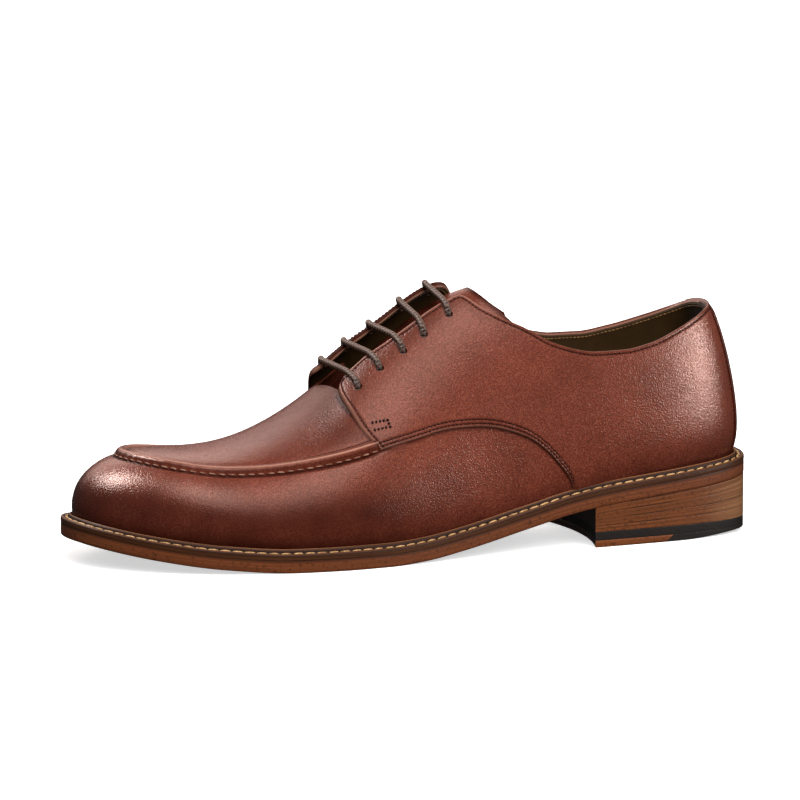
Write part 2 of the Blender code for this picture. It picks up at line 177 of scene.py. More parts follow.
# Sections of the welt and of the sole's edge: in from the outline, and up from the outsole
WELT_SECTION = {
    "inset": (0.5, 0.05, -0.05, 0.0, 0.25, 0.7, 1.3, 1.7, 2.2, 2.7, 3.0, 3.2, 3.6, 4.0, 4.4, 4.7, 5.0, 7.2,
              7.2),
    "height": (0.1, 0.2, 1.0, 2.0, 2.5, 2.75, 2.7, 2.4, 2.15, 2.2, 2.5, 3.3, 4.05, 4.3, 4.05, 3.4, 2.7, 2.6,
               0.1),
}
EDGE_SECTION = {
    "inset": (0.6, 0.25, 0.06, 0.0, 0.0, 0.0, 0.02, 0.1),
    "height": (0.0, 0.06, 0.3, 1.2, 3.4, 4.2, 4.8, 5.2),
}


def hex_colour(code):
    """sRGB hex value as a linear colour."""
    parts = [int(code[i:i + 2], 16) / 255 for i in (1, 3, 5)]
    return tuple(c / 12.92 if c <= 0.04045 else ((c + 0.055) / 1.055) ** 2.4 for c in parts) + (1.0,)


def spline(x, y, closed):
    """Cubic spline through rows of y at x, natural at the ends or closed into a loop."""
    count = len(x)
    step = np.diff(x)
    slope = np.diff(y, axis=0) / step[:, None]
    matrix = np.zeros((count, count))
    right = np.zeros_like(y)
    for i in range(1, count - 1):
        matrix[i, i - 1:i + 2] = step[i - 1], 2 * (step[i - 1] + step[i]), step[i]
        right[i] = 6 * (slope[i] - slope[i - 1])
    if closed:
        matrix[0, 0] = 2 * (step[-1] + step[0])
        matrix[0, 1] = step[0]
        matrix[0, count - 2] = step[-1]
        right[0] = 6 * (slope[0] - slope[-1])
        matrix[-1, 0] = 1
        matrix[-1, -1] = -1
    else:
        matrix[0, 0] = 1
        matrix[-1, -1] = 1
    bend = np.linalg.solve(matrix, right)

    def at(t):
        t = np.clip(np.asarray(t, float), x[0], x[-1])
        i = np.clip(np.searchsorted(x, t) - 1, 0, count - 2)
        h = step[i][..., None]
        a = (x[i + 1] - t)[..., None] / h
        b = 1 - a
        bow = ((a ** 3 - a) * bend[i] + (b ** 3 - b) * bend[i + 1]) * h ** 2 / 6
        return a * y[i] + b * y[i + 1] + bow

    return at


def curve(table, *columns):
    """Smooth curve through named columns of a table, as a function of the first one."""
    x = np.array(table[columns[0]], float)
    y = np.array([table[name] for name in columns[1:]], float).T
    return spline(x, y, False)


def steady(table, *columns):
    """Curve through two columns that never overshoots, so a flat stretch stays flat."""
    x = np.array(table[columns[0]], float)
    y = np.array(table[columns[1]], float)
    step = np.diff(x)
    slope = np.diff(y) / step
    lean = np.r_[slope[0], np.zeros(len(x) - 2), slope[-1]]
    for i in range(1, len(x) - 1):
        if slope[i - 1] * slope[i] > 0:
            one = 2 * step[i] + step[i - 1]
            two = step[i] + 2 * step[i - 1]
            lean[i] = (one + two) / (one / slope[i - 1] + two / slope[i])

    def at(t):
        t = np.clip(np.asarray(t, float), x[0], x[-1])
        i = np.clip(np.searchsorted(x, t) - 1, 0, len(x) - 2)
        u = (t - x[i]) / step[i]
        ends = (1 + 2 * u) * (1 - u) ** 2 * y[i] + u * u * (3 - 2 * u) * y[i + 1]
        return ends + step[i] * u * (1 - u) * ((1 - u) * lean[i] - u * lean[i + 1])

    return at


def soft_step(low, high, x):
    """Rises smoothly from 0 at low to 1 at high."""
    t = np.clip((np.asarray(x, float) - low) / (high - low), 0, 1)
    return t * t * (3 - 2 * t)


def hump(x, middle, width):
    """Smooth bump of height 1."""
    return np.exp(-((np.asarray(x, float) - middle) / width) ** 2)


def soft_min(a, b, blend):
    """Smaller of two values, eased where they meet."""
    return 0.5 * (a + b - np.sqrt((a - b) ** 2 + blend * blend))


def soft_max(a, b, blend):
    """Larger of two values, eased where they meet."""
    return 0.5 * (a + b + np.sqrt((a - b) ** 2 + blend * blend))


def make_outline():
    """Outer side and inner side of the sole, each from heel to toe: points and inward normals."""
    heel_to_toe = list(zip(OUTLINE["from_heel"], OUTLINE["outer"], OUTLINE["inner"]))
    outer = [(s, -o) for s, o, _ in heel_to_toe]
    inner = [(s, i) for s, _, i in reversed(heel_to_toe)]
    points = np.array([(0, 0)] + outer + [(LENGTH, TOE_TIP_SIDE)] + inner + [(0, 0)], float)
    knots = np.r_[0, np.cumsum(np.sqrt(np.hypot(*np.diff(points, axis=0).T)))]
    loop = spline(knots, points, True)(np.linspace(0, knots[-1], 4001))[:-1]
    ahead = np.roll(loop, -1, axis=0) - np.roll(loop, 1, axis=0)
    ahead /= np.hypot(*ahead.T)[:, None]
    rows = np.c_[loop, -ahead[:, 1], ahead[:, 0]]
    rows = np.roll(rows, -int(np.argmin(loop[:, 0])), axis=0)
    tip = int(np.argmax(rows[:, 0]))
    return {"outer": rows[:tip + 1], "inner": np.r_[rows[tip:], rows[:1]][::-1]}


SIDES = make_outline()
MIDDLE = 0.5 * (SIDES["outer"][:, 1].min() + SIDES["inner"][:, 1].max())
sole_line = steady(SOLE_LINE, "from_heel", "height")
ridge_line = curve(RIDGE, "from_heel", "height", "inner_side")
wall_shape = curve(WALLS, "from_heel", "fullness", "swell")
facing_lift = {side: steady(LIFT, "from_heel", side) for side in BOTH_SIDES}
facing_edge = {side: steady(FACING_EDGE, "from_heel", side) for side in BOTH_SIDES}
collar_line = {side: steady(COLLAR, "from_heel", side) for side in BOTH_SIDES}
apron_seam = curve(APRON_SEAM, "from_heel", "up")
apron_lip = steady(APRON_LIP, "across", "rise")
quarter_seam = steady(QUARTER_SEAM, "from_heel", "up")
facing_front = curve(FACING_FRONT, "share", "ahead")
tongue_depth = steady(TONGUE_DEPTH, "from_heel", "depth")


def welt_top(s):
    """Height of the welt's upper face."""
    return sole_line(s) + OUTSOLE_THICK + GAP + WELT_THICK


def edge_point(side, where, inset):
    """Point of the outline moved inwards; where counts along its rows."""
    rows = SIDES[side]
    s, y, toward_s, toward_y = (np.interp(where, np.arange(len(rows)), rows[:, i]) for i in range(4))
    return s + inset * toward_s, y + inset * toward_y, toward_s, toward_y


def foot_of(side):
    """Along the foot of the upper: distance from the heel, and length run from the heel's back."""
    rows = SIDES[side]
    foot = rows[:, :2] + WELT_SHOWS * rows[:, 2:]
    return foot[:, 0], np.r_[0, np.cumsum(np.hypot(*np.diff(foot, axis=0).T))]


def ridge_place(from_heel):
    """Place along the ridge that a place along the foot rises to."""
    return soft_max(soft_min(from_heel, RIDGE_FRONT, 10.0), RIDGE_BACK, 10.0)


def last(side, from_heel, up, out):
    """Point of the last: up is 0 at the welt and 1 at the ridge, out is how far proud of it."""
    from_heel, up, out = np.broadcast_arrays(*(np.asarray(v, float) for v in (from_heel, up, out)))
    foot, _ = foot_of(side)
    where = np.interp(from_heel, foot, np.arange(len(foot)))
    s, y, toward_s, toward_y = edge_point(side, where, WELT_SHOWS - out)
    low = welt_top(s) + GAP
    top_s = ridge_place(from_heel)
    top = ridge_line(top_s)
    shape = wall_shape(from_heel)
    turn = up * math.pi / 2
    across = 1 - np.clip(np.cos(turn), 0, 1) ** (2 / shape[..., 0])
    rise = np.sin(turn) ** (2 / shape[..., 0]) * (top[..., 0] + out - low)
    swell = shape[..., 1] * rise / SWELL_HEIGHT * np.exp(1 - rise / SWELL_HEIGHT) * (1 - up ** 6)
    s = s + across * (top_s - s) - toward_s * swell
    y = y + across * (top[..., 1] - y) - toward_y * swell
    return np.stack([s, y, low + rise], -1)


def raised(side, from_heel, up):
    """How far the facings stand proud at this place."""
    return facing_lift[side](from_heel) * soft_step(0.45, 0.95, up)


def up_at_height(side, from_heel, height):
    """Place up the wall that has this height."""
    foot, _ = foot_of(side)
    where = np.interp(from_heel, foot, np.arange(len(foot)))
    low = welt_top(edge_point(side, where, WELT_SHOWS)[0]) + GAP
    top_s = ridge_place(from_heel)
    part = (height - low) / (ridge_line(top_s)[..., 0] - low)
    return np.arcsin(np.clip(part, 0, 1) ** (wall_shape(from_heel)[..., 0] / 2)) * 2 / math.pi


def top_edge(side, from_heel):
    """Collar, then the facing's edge, as a place up the wall."""
    collar = up_at_height(side, from_heel, collar_line[side](from_heel))
    blend = soft_step(123.0, FACING_TOP + 2, from_heel)
    return collar + blend * (facing_edge[side](from_heel) - collar)


def place(points):
    """Millimetres along the foot to metres in the part's frame."""
    points = np.asarray(points, float)
    return np.stack([LENGTH / 2 - points[..., 0], points[..., 1] - MIDDLE, points[..., 2]], -1) / MM


def run_length(points):
    """Length run along a line of points."""
    return np.r_[0, np.cumsum(np.linalg.norm(np.diff(points, axis=0), axis=1))]


def eased(points, step, ease):
    """Even line along a row of points, with its corners eased."""
    points = np.asarray(points, float)
    run = run_length(points)
    where = np.linspace(0, run[-1], int(round(run[-1] / step)) + 1)
    line = np.stack([np.interp(where, run, points[:, i]) for i in range(3)], -1)
    for _ in range(ease):
        line[1:-1] = (line[:-2] + 2 * line[1:-1] + line[2:]) / 4
    return line


def taut(points):
    """Line pulled tight over a row of points: only those that hold it up stay."""
    chord = points[-1] - points[0]
    chord /= np.linalg.norm(chord)
    upward = np.array([0.0, 0.0, 1.0]) - chord[2] * chord
    flat = np.stack([points @ chord, points @ upward], -1)
    kept = []
    for i in np.argsort(flat[:, 0]):
        while len(kept) > 1:
            (x0, y0), (x1, y1), (x2, y2) = flat[kept[-2]], flat[kept[-1]], flat[i]
            if (x1 - x0) * (y2 - y0) < (y1 - y0) * (x2 - x0):
                break
            kept.pop()
        kept.append(i)
    return points[kept]


def link_object(name, mesh, material):
    """Object in the scene for a mesh with one material."""
    mesh.materials.clear()
    mesh.materials.append(material)
    item = bpy.data.objects.new(name, mesh)
    bpy.context.scene.collection.objects.link(item)
    return item


def solid(name, points, faces, material, sharp=45.0, **marks):
    """Closed piece from points in millimetres; doubled points are joined and faces turned outwards."""
    points = np.asarray(points, float).reshape(-1, 3)
    _, first, same = np.unique(np.round(points, 4), axis=0, return_index=True, return_inverse=True)
    same = same.reshape(-1)
    kept = []
    for face in faces:
        corners = [int(same[i]) for i in face]
        corners = [c for k, c in enumerate(corners) if c != corners[k - 1]]
        if len(set(corners)) == len(corners) > 2:
            kept.append(corners)
    used, corner_of = np.unique(np.concatenate(kept), return_inverse=True)
    ends = np.cumsum([len(corners) for corners in kept])[:-1]
    first = first[used]
    mesh = bpy.data.meshes.new(name)
    mesh.from_pydata(place(points[first]).tolist(), [], [part.tolist() for part in np.split(corner_of, ends)])
    shape = bmesh.new()
    shape.from_mesh(mesh)
    bmesh.ops.recalc_face_normals(shape, faces=shape.faces)
    shape.to_mesh(mesh)
    shape.free()
    for mark, values in marks.items():
        layer = mesh.attributes.new(mark, "FLOAT", "POINT")
        layer.data.foreach_set("value", np.asarray(values, np.float32).reshape(-1)[first])
    mesh.shade_smooth()
    mesh.set_sharp_from_angle(angle=math.radians(sharp))
    return link_object(name, mesh, material)


def grid_faces(rows, columns, start=0, keep=None, closed=False):
    """Quads of a grid; closed joins the last column to the first, keep leaves some out."""
    faces = []
    for i in range(rows - 1):
        for j in range(columns if closed else columns - 1):
            if keep is None or keep[i, j]:
                k = (j + 1) % columns
                a = start + i * columns
                faces.append((a + j, a + k, a + columns + k, a + columns + j))
    return faces


def side_faces(side, shape, sheets):
    """Quads of one side's grid, numbered after the sheets before it and turned like the outer side's."""
    quads = grid_faces(*shape, start=sum(len(sheet) for sheet in sheets))
    return quads if side == "outer" else [quad[::-1] for quad in quads]


def wall(name, outer, inner, faces, material, sharp=45.0, **marks):
    """Closed piece between two sheets of points that share faces; every loose edge gets a rim."""
    outer = outer.reshape(-1, 3)
    inner = inner.reshape(-1, 3)
    count = len(outer)
    _, first, same = np.unique(np.round(outer, 4), axis=0, return_index=True, return_inverse=True)
    join = first[same.reshape(-1)]
    joined = [tuple(int(join[i]) for i in face) for face in faces]
    ahead = set()
    for face in joined:
        ahead.update((a, b) for a, b in zip(face, face[1:] + face[:1]) if a != b)
    rims = [(b, a, count + a, count + b) for a, b in ahead if (b, a) not in ahead]
    backs = [tuple(count + i for i in reversed(face)) for face in joined]
    both = {}
    for mark, values in marks.items():
        front, rear = values if isinstance(values, tuple) else (values, values)
        both[mark] = np.r_[front.reshape(-1), rear.reshape(-1)]
    return solid(name, np.concatenate([outer, inner]), joined + backs + rims, material, sharp, **both)


def tube(name, path, radii, sides, material):
    """Round cord along a path, with a UV map: length run in millimetres, and turns."""
    ahead = np.gradient(path, axis=0)
    ahead /= np.linalg.norm(ahead, axis=1)[:, None]
    across = np.cross(ahead, (0.3, 0.1, 1.0))
    across /= np.linalg.norm(across, axis=1)[:, None]
    away = np.cross(across, ahead)
    turn = np.linspace(0, 2 * math.pi, sides, endpoint=False)
    ring = np.cos(turn)[None, :, None] * across[:, None] + np.sin(turn)[None, :, None] * away[:, None]
    points = path[:, None] + np.asarray(radii)[:, None, None] * ring
    rows = len(path)
    faces = grid_faces(rows, sides, closed=True)
    run = run_length(path)
    spots = []
    for face_row in range(rows - 1):
        for j in range(sides):
            low, high = run[face_row], run[face_row + 1]
            spots += [(low, j / sides), (low, (j + 1) / sides), (high, (j + 1) / sides), (high, j / sides)]
    caps = [tuple(reversed(range(sides))), tuple(range((rows - 1) * sides, rows * sides))]
    spots += [(0.0, 0.0)] * sides + [(run[-1], 0.0)] * sides
    mesh = bpy.data.meshes.new(name)
    mesh.from_pydata(place(points.reshape(-1, 3)).tolist(), [], faces + caps)
    layer = mesh.uv_layers.new(name="cord")
    layer.data.foreach_set("uv", np.asarray(spots, np.float32).reshape(-1))
    mesh.shade_smooth()
    return link_object(name, mesh, material)


def hand_over(item, slot, *nodes):
    """Makes a piece ride on the shoe and stand for nodes of the solid model."""
    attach(item, "root")
    if nodes:
        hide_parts(*nodes)


def add_node(tree, kind, inputs=None, **settings):
    """Adds one node: settings are its properties, inputs are values or other nodes' outputs."""
    made = tree.nodes.new(kind)
    for key, value in settings.items():
        setattr(made, key, value)
    for key, value in (inputs or {}).items():
        socket = made.inputs[key]
        if isinstance(value, bpy.types.NodeSocket):
            tree.links.new(value, socket)
        else:
            socket.default_value = value
    return made


def new_material(name, roughness, **sockets):
    """Material with one Principled shader; sockets are constant values on it."""
    material = bpy.data.materials.new(name)
    material.use_nodes = True
    tree = material.node_tree
    shader = tree.nodes["Principled BSDF"]
    shader.inputs["Roughness"].default_value = roughness
    for key, value in sockets.items():
        shader.inputs[key.replace("_", " ")].default_value = value
    return material, tree, shader


class ShoeColours(PropertyGroup):
    """Colours of the shoe's leathers, threads and rubber."""
    upper: FloatVectorProperty(name="Upper", description="Polished calf leather of the upper",
                               subtype="COLOR", size=4, default=hex_colour("#813d2c"))
    # the dark tone is also the colour of the painted shade
    upper_dark: FloatVectorProperty(name="Dark tone and shade", description="Darker leather by the welt and seams",
                                    subtype="COLOR", size=4, default=hex_colour("#3a150d"))
    # the worn tone is also the colour of painted highlights
    upper_worn_and_highlight: FloatVectorProperty(name="Worn edge and highlight", description="Lighter leather along cut edges",
                                    subtype="COLOR", size=4, default=hex_colour("#c08a74"))
    lining: FloatVectorProperty(name="Lining", description="Leather lining", subtype="COLOR", size=4,
                                default=hex_colour("#46311a"))
    seam_thread: FloatVectorProperty(name="Seam thread", description="Thread of the upper", subtype="COLOR",
                                     size=4, default=hex_colour("#3a170e"))
    apron_thread: FloatVectorProperty(name="Apron thread", description="Thread of the apron seam",
                                      subtype="COLOR", size=4, default=hex_colour("#ab7f6a"))
    welt_thread: FloatVectorProperty(name="Welt thread", description="Heavy thread of the welt",
                                     subtype="COLOR", size=4, default=hex_colour("#d9ac76"))
    lace: FloatVectorProperty(name="Lace", description="Waxed cotton lace", subtype="COLOR", size=4,
                              default=hex_colour("#725343"))
    welt: FloatVectorProperty(name="Welt", description="Welt leather", subtype="COLOR", size=4,
                              default=hex_colour("#3f2113"))
    sole: FloatVectorProperty(name="Sole edge", description="Stained sole leather", subtype="COLOR", size=4,
                              default=hex_colour("#864a2b"))
    heel: FloatVectorProperty(name="Heel", description="Stacked heel leather", subtype="COLOR", size=4,
                              default=hex_colour("#874a24"))
    rubber: FloatVectorProperty(name="Rubber", description="Heel rubber", subtype="COLOR", size=4,
                                default=hex_colour("#1b1614"))


class ShoeSizes(PropertyGroup):
    """Sizes of thread, lacing and leather."""
    welt_pitch: FloatProperty(name="Welt stitch", description="Spacing of the welt stitches", default=0.005,
                              unit="LENGTH")
    welt_thread: FloatProperty(name="Welt thread", description="Thickness of the welt thread", default=0.0010,
                               unit="LENGTH")
    apron_pitch: FloatProperty(name="Apron stitch", description="Spacing of the apron stitches",
                               default=0.0040, unit="LENGTH")
    seam_pitch: FloatProperty(name="Seam stitch", description="Spacing of the upper's stitches",
                              default=0.0018, unit="LENGTH")
    seam_thread: FloatProperty(name="Seam thread", description="Thickness of the upper's thread",
                               default=0.0006, unit="LENGTH")
    leather: FloatProperty(name="Leather", description="How far the quarters stand over the vamp",
                           default=0.0013, unit="LENGTH")
    eyelet: FloatProperty(name="Eyelet", description="Radius of the punched eyelets", default=0.0017,
                          unit="LENGTH")
    lace: FloatProperty(name="Lace", description="Thickness of the lace", default=0.0028, unit="LENGTH")


def upper_leather(colours):
    """Calf leather, dyed, brushed and polished: cloudy red-brown with fine pores and a soft waxy gloss."""
    material, tree, shader = new_material("polished calf leather", 0.32, Specular_Tint=hex_colour("#ffd6c8"))
    where = add_node(tree, "ShaderNodeTexCoord").outputs["Object"]
    # clouds of dye about 20 mm across
    cloud = add_node(tree, "ShaderNodeTexNoise", {"Vector": where, "Scale": 50.0, "Detail": 3.0})
    cloud = add_node(tree, "ShaderNodeMapRange", {"Value": cloud.outputs["Fac"], "From Min": 0.35,
                                                  "From Max": 0.7, "To Min": 0.0, "To Max": 0.3})
    # painted shade from the pieces' shade attribute darkens the colour together with the dye clouds
    shade = add_node(tree, "ShaderNodeAttribute", attribute_name="shade")
    dark = add_node(tree, "ShaderNodeMath", {0: cloud.outputs["Result"], 1: shade.outputs["Fac"]},
                    operation="ADD", use_clamp=True)
    # pores under 1 mm apart, coarser than in real calf so that they show
    pores = add_node(tree, "ShaderNodeTexNoise", {"Vector": where, "Scale": 1600.0, "Detail": 1.0,
                                                  "Roughness": 0.6})
    speck = add_node(tree, "ShaderNodeMapRange", {"Value": pores.outputs["Fac"], "From Min": 0.44,
                                                  "From Max": 0.64, "To Min": 0.0, "To Max": 0.6})
    # painted glints: the raised grain between the pores is lighter, standing in for the small lights it
    # catches
    crest = add_node(tree, "ShaderNodeMapRange", {"Value": pores.outputs["Fac"], "From Min": 0.34,
                                                  "From Max": 0.5, "To Min": 0.09, "To Max": 0.0})
    colour = add_node(tree, "ShaderNodeMix", {"Factor": crest.outputs["Result"], "A": tuple(colours.upper),
                                              "B": tuple(colours.upper_worn_and_highlight)}, data_type="RGBA")
    colour = add_node(tree, "ShaderNodeMix", {"Factor": speck.outputs["Result"],
                                              "A": colour.outputs["Result"],
                                              "B": tuple(colours.upper_dark)}, data_type="RGBA")
    colour = add_node(tree, "ShaderNodeMix", {"Factor": dark.outputs["Value"], "A": colour.outputs["Result"],
                                              "B": tuple(colours.upper_dark)}, data_type="RGBA")
    # lighter where the pieces mark worn: partly the cut edges' own colour, partly painted highlights on
    # crests and the apron's lip
    worn = add_node(tree, "ShaderNodeAttribute", attribute_name="worn")
    colour = add_node(tree, "ShaderNodeMix", {"Factor": worn.outputs["Fac"], "A": colour.outputs["Result"],
                                              "B": tuple(colours.upper_worn_and_highlight)}, data_type="RGBA")
    rough = add_node(tree, "ShaderNodeMapRange", {"Value": pores.outputs["Fac"], "From Min": 0.35,
                                                  "From Max": 0.7, "To Min": 0.18, "To Max": 0.3})
    # ripples about 8 mm across
    ripple = add_node(tree, "ShaderNodeTexNoise", {"Vector": where, "Scale": 130.0, "Detail": 2.0})
    soft = add_node(tree, "ShaderNodeBump", {"Height": ripple.outputs["Fac"], "Strength": 0.2,
                                             "Distance": 0.0005})
    bump = add_node(tree, "ShaderNodeBump", {"Height": pores.outputs["Fac"], "Strength": 0.9,
                                             "Distance": 0.00017, "Normal": soft.outputs["Normal"]})
    tree.links.new(colour.outputs["Result"], shader.inputs["Base Color"])
    matte = add_node(tree, "ShaderNodeMath", {0: shade.outputs["Fac"], 1: worn.outputs["Fac"]},
                     operation="MAXIMUM")
    gloss = add_node(tree, "ShaderNodeMapRange", {"Value": matte.outputs["Value"], "To Min": 0.4,
                                                  "To Max": 0.05})
    # the toe and heel are polished to twice the gloss
    polish = add_node(tree, "ShaderNodeAttribute", attribute_name="polish")
    gloss = add_node(tree, "ShaderNodeMath", {0: gloss.outputs["Result"], 1: polish.outputs["Fac"],
                                              2: gloss.outputs["Result"]}, operation="MULTIPLY_ADD")
    tree.links.new(gloss.outputs["Value"], shader.inputs["Specular IOR Level"])
    tree.links.new(rough.outputs["Result"], shader.inputs["Roughness"])
    tree.links.new(bump.outputs["Normal"], shader.inputs["Normal"])


def plain_leather(name, colour, dark, roughness, scale, depth):
    """Undyed or lining leather, split and left matte: slightly uneven colour and a fine nap."""
    material, tree, shader = new_material(name, roughness, Specular_IOR_Level=0.25)
    where = add_node(tree, "ShaderNodeTexCoord").outputs["Object"]
    # clouds about 8 mm across, and a nap of about 1.5 mm
    cloud = add_node(tree, "ShaderNodeTexNoise", {"Vector": where, "Scale": 120.0, "Detail": 4.0})
    colour = add_node(tree, "ShaderNodeMix", {"Factor": cloud.outputs["Fac"], "A": colour, "B": dark},
                      data_type="RGBA")
    nap = add_node(tree, "ShaderNodeTexNoise", {"Vector": where, "Scale": scale, "Detail": 3.0})
    bump = add_node(tree, "ShaderNodeBump", {"Height": nap.outputs["Fac"], "Strength": 0.5,
                                             "Distance": depth})
    tree.links.new(colour.outputs["Result"], shader.inputs["Base Color"])
    tree.links.new(bump.outputs["Normal"], shader.inputs["Normal"])


def layered_leather(name, colour, dark, worn, layer, line, gloss):
    """Vegetable-tanned leather, cut, sanded and waxed on edge: fibre layers show as fine level streaks."""
    material, tree, shader = new_material(name, 0.45, Specular_IOR_Level=gloss)
    where = add_node(tree, "ShaderNodeTexCoord").outputs["Object"]
    level = add_node(tree, "ShaderNodeAttribute", attribute_name="level")
    fall = add_node(tree, "ShaderNodeMath", {0: level.outputs["Fac"], 1: 1.0 / layer}, operation="MULTIPLY")
    fall = add_node(tree, "ShaderNodeCombineXYZ", {"Z": fall.outputs["Value"]})
    # streaks about 60 mm long
    spot = add_node(tree, "ShaderNodeVectorMath",
                    {0: where, 1: (16.0, 16.0, 16.0), 2: fall.outputs["Vector"]}, operation="MULTIPLY_ADD")
    fibre = add_node(tree, "ShaderNodeTexNoise", {"Vector": spot.outputs["Vector"], "Scale": 1.0,
                                                  "Detail": 4.0, "Roughness": 0.6})
    streak = add_node(tree, "ShaderNodeMapRange", {"Value": fibre.outputs["Fac"], "From Min": 0.36,
                                                   "From Max": 0.68})
    # a dark glue line at every fourth level and a fainter one between
    joint = add_node(tree, "ShaderNodeMath", {0: level.outputs["Fac"], 1: 2.0}, operation="PINGPONG")
    glue = add_node(tree, "ShaderNodeMapRange", {"Value": joint.outputs["Value"], "From Min": 0.12,
                                                 "From Max": 0.5, "To Min": line, "To Max": 0.0})
    faint = add_node(tree, "ShaderNodeMapRange", {"Value": joint.outputs["Value"], "From Min": 1.66,
                                                  "From Max": 1.94, "To Min": 0.0, "To Max": line * 0.8})
    joint = add_node(tree, "ShaderNodeMath", {0: glue.outputs["Result"], 1: faint.outputs["Result"]},
                     operation="MAXIMUM")
    # the lines come and go over 15 mm or so
    patch = add_node(tree, "ShaderNodeTexNoise", {"Vector": where, "Scale": 65.0, "Detail": 2.0})
    patch = add_node(tree, "ShaderNodeMapRange", {"Value": patch.outputs["Fac"], "From Min": 0.35,
                                                  "From Max": 0.6, "To Min": 0.35, "To Max": 1.0})
    joint = add_node(tree, "ShaderNodeMath", {0: joint.outputs["Value"], 1: patch.outputs["Result"]},
                     operation="MULTIPLY")
    # stains and painted shade from the pieces' shade attribute
    shade = add_node(tree, "ShaderNodeAttribute", attribute_name="shade")
    stain = add_node(tree, "ShaderNodeMath", {0: shade.outputs["Fac"], 1: joint.outputs["Value"]},
                     operation="MAXIMUM")
    # pits about 1.5 mm apart
    pitted = add_node(tree, "ShaderNodeTexNoise", {"Vector": where, "Scale": 650.0, "Detail": 3.0,
                                                   "Roughness": 0.7})
    pit = add_node(tree, "ShaderNodeMapRange", {"Value": pitted.outputs["Fac"], "From Min": 0.48,
                                                "From Max": 0.66, "To Min": 0.0, "To Max": 0.75})
    stain = add_node(tree, "ShaderNodeMath", {0: stain.outputs["Value"], 1: pit.outputs["Result"]},
                     operation="MAXIMUM")
    streaky = add_node(tree, "ShaderNodeMath", {0: streak.outputs["Result"], 1: 0.6}, operation="MULTIPLY")
    stain = add_node(tree, "ShaderNodeMath", {0: stain.outputs["Value"], 1: streaky.outputs["Value"]},
                     operation="MAXIMUM")
    colour = add_node(tree, "ShaderNodeMix", {"Factor": stain.outputs["Value"], "A": colour, "B": dark},
                      data_type="RGBA")
    # lighter where the pieces mark worn, streaked like the fibre: painted highlights on the welt's crests and
    # the heel's back, and the welt's lighter lower edge
    lightening = add_node(tree, "ShaderNodeAttribute", attribute_name="worn")
    bare = add_node(tree, "ShaderNodeMapRange", {"Value": fibre.outputs["Fac"], "From Min": 0.38,
                                                 "From Max": 0.62, "To Min": 1.3, "To Max": 0.5})
    lightening = add_node(tree, "ShaderNodeMath", {0: lightening.outputs["Fac"], 1: bare.outputs["Result"]},
                   operation="MULTIPLY", use_clamp=True)
    colour = add_node(tree, "ShaderNodeMix", {"Factor": lightening.outputs["Value"], "A": colour.outputs["Result"],
                                              "B": worn}, data_type="RGBA")
    bump = add_node(tree, "ShaderNodeBump", {"Height": fibre.outputs["Fac"], "Strength": 0.4,
                                             "Distance": 0.0002})
    bump = add_node(tree, "ShaderNodeBump", {"Height": pitted.outputs["Fac"], "Strength": 0.5,
                                             "Distance": 0.0002, "Normal": bump.outputs["Normal"]})
    tree.links.new(colour.outputs["Result"], shader.inputs["Base Color"])
    tree.links.new(bump.outputs["Normal"], shader.inputs["Normal"])


def heel_rubber(colours):
    """Carbon-filled rubber, moulded and sanded at the edge: near black and matte, with a fine grit."""
    material, tree, shader = new_material("moulded rubber", 0.55, Specular_IOR_Level=0.25)
    where = add_node(tree, "ShaderNodeTexCoord").outputs["Object"]
    # grit about 1.4 mm apart, and dust in patches of about 11 mm
    grit = add_node(tree, "ShaderNodeTexNoise", {"Vector": where, "Scale": 700.0, "Detail": 4.0})
    dust = add_node(tree, "ShaderNodeTexNoise", {"Vector": where, "Scale": 90.0, "Detail": 3.0})
    colour = add_node(tree, "ShaderNodeMix", {"Factor": dust.outputs["Fac"], "A": tuple(colours.rubber),
                                              "B": hex_colour("#261e1a")}, data_type="RGBA")
    bump = add_node(tree, "ShaderNodeBump", {"Height": grit.outputs["Fac"], "Strength": 0.5,
                                             "Distance": 0.0002})
    tree.links.new(colour.outputs["Result"], shader.inputs["Base Color"])
    tree.links.new(bump.outputs["Normal"], shader.inputs["Normal"])


def thread(name, colour, dark, roughness):
    """Linen thread, twisted and waxed: strands of uneven colour that shine softly."""
    material, tree, shader = new_material(name, roughness, Specular_IOR_Level=0.25)
    where = add_node(tree, "ShaderNodeTexCoord").outputs["Object"]
    # strands about 0.7 mm apart, coarser than real so that they show
    twist = add_node(tree, "ShaderNodeTexNoise", {"Vector": where, "Scale": 1400.0, "Detail": 2.0})
    # some stitches stained darker than others, over 6 mm or so
    stain = add_node(tree, "ShaderNodeTexNoise", {"Vector": where, "Scale": 170.0, "Detail": 1.0})
    both = add_node(tree, "ShaderNodeMath", {0: twist.outputs["Fac"], 1: stain.outputs["Fac"]},
                    operation="ADD")
    share = add_node(tree, "ShaderNodeMapRange", {"Value": both.outputs["Value"], "From Min": 0.85,
                                                  "From Max": 1.25})
    colour = add_node(tree, "ShaderNodeMix", {"Factor": share.outputs["Result"], "A": colour, "B": dark},
                      data_type="RGBA")
    bump = add_node(tree, "ShaderNodeBump", {"Height": twist.outputs["Fac"], "Strength": 0.6,
                                             "Distance": 0.0002})
    tree.links.new(colour.outputs["Result"], shader.inputs["Base Color"])
    tree.links.new(bump.outputs["Normal"], shader.inputs["Normal"])


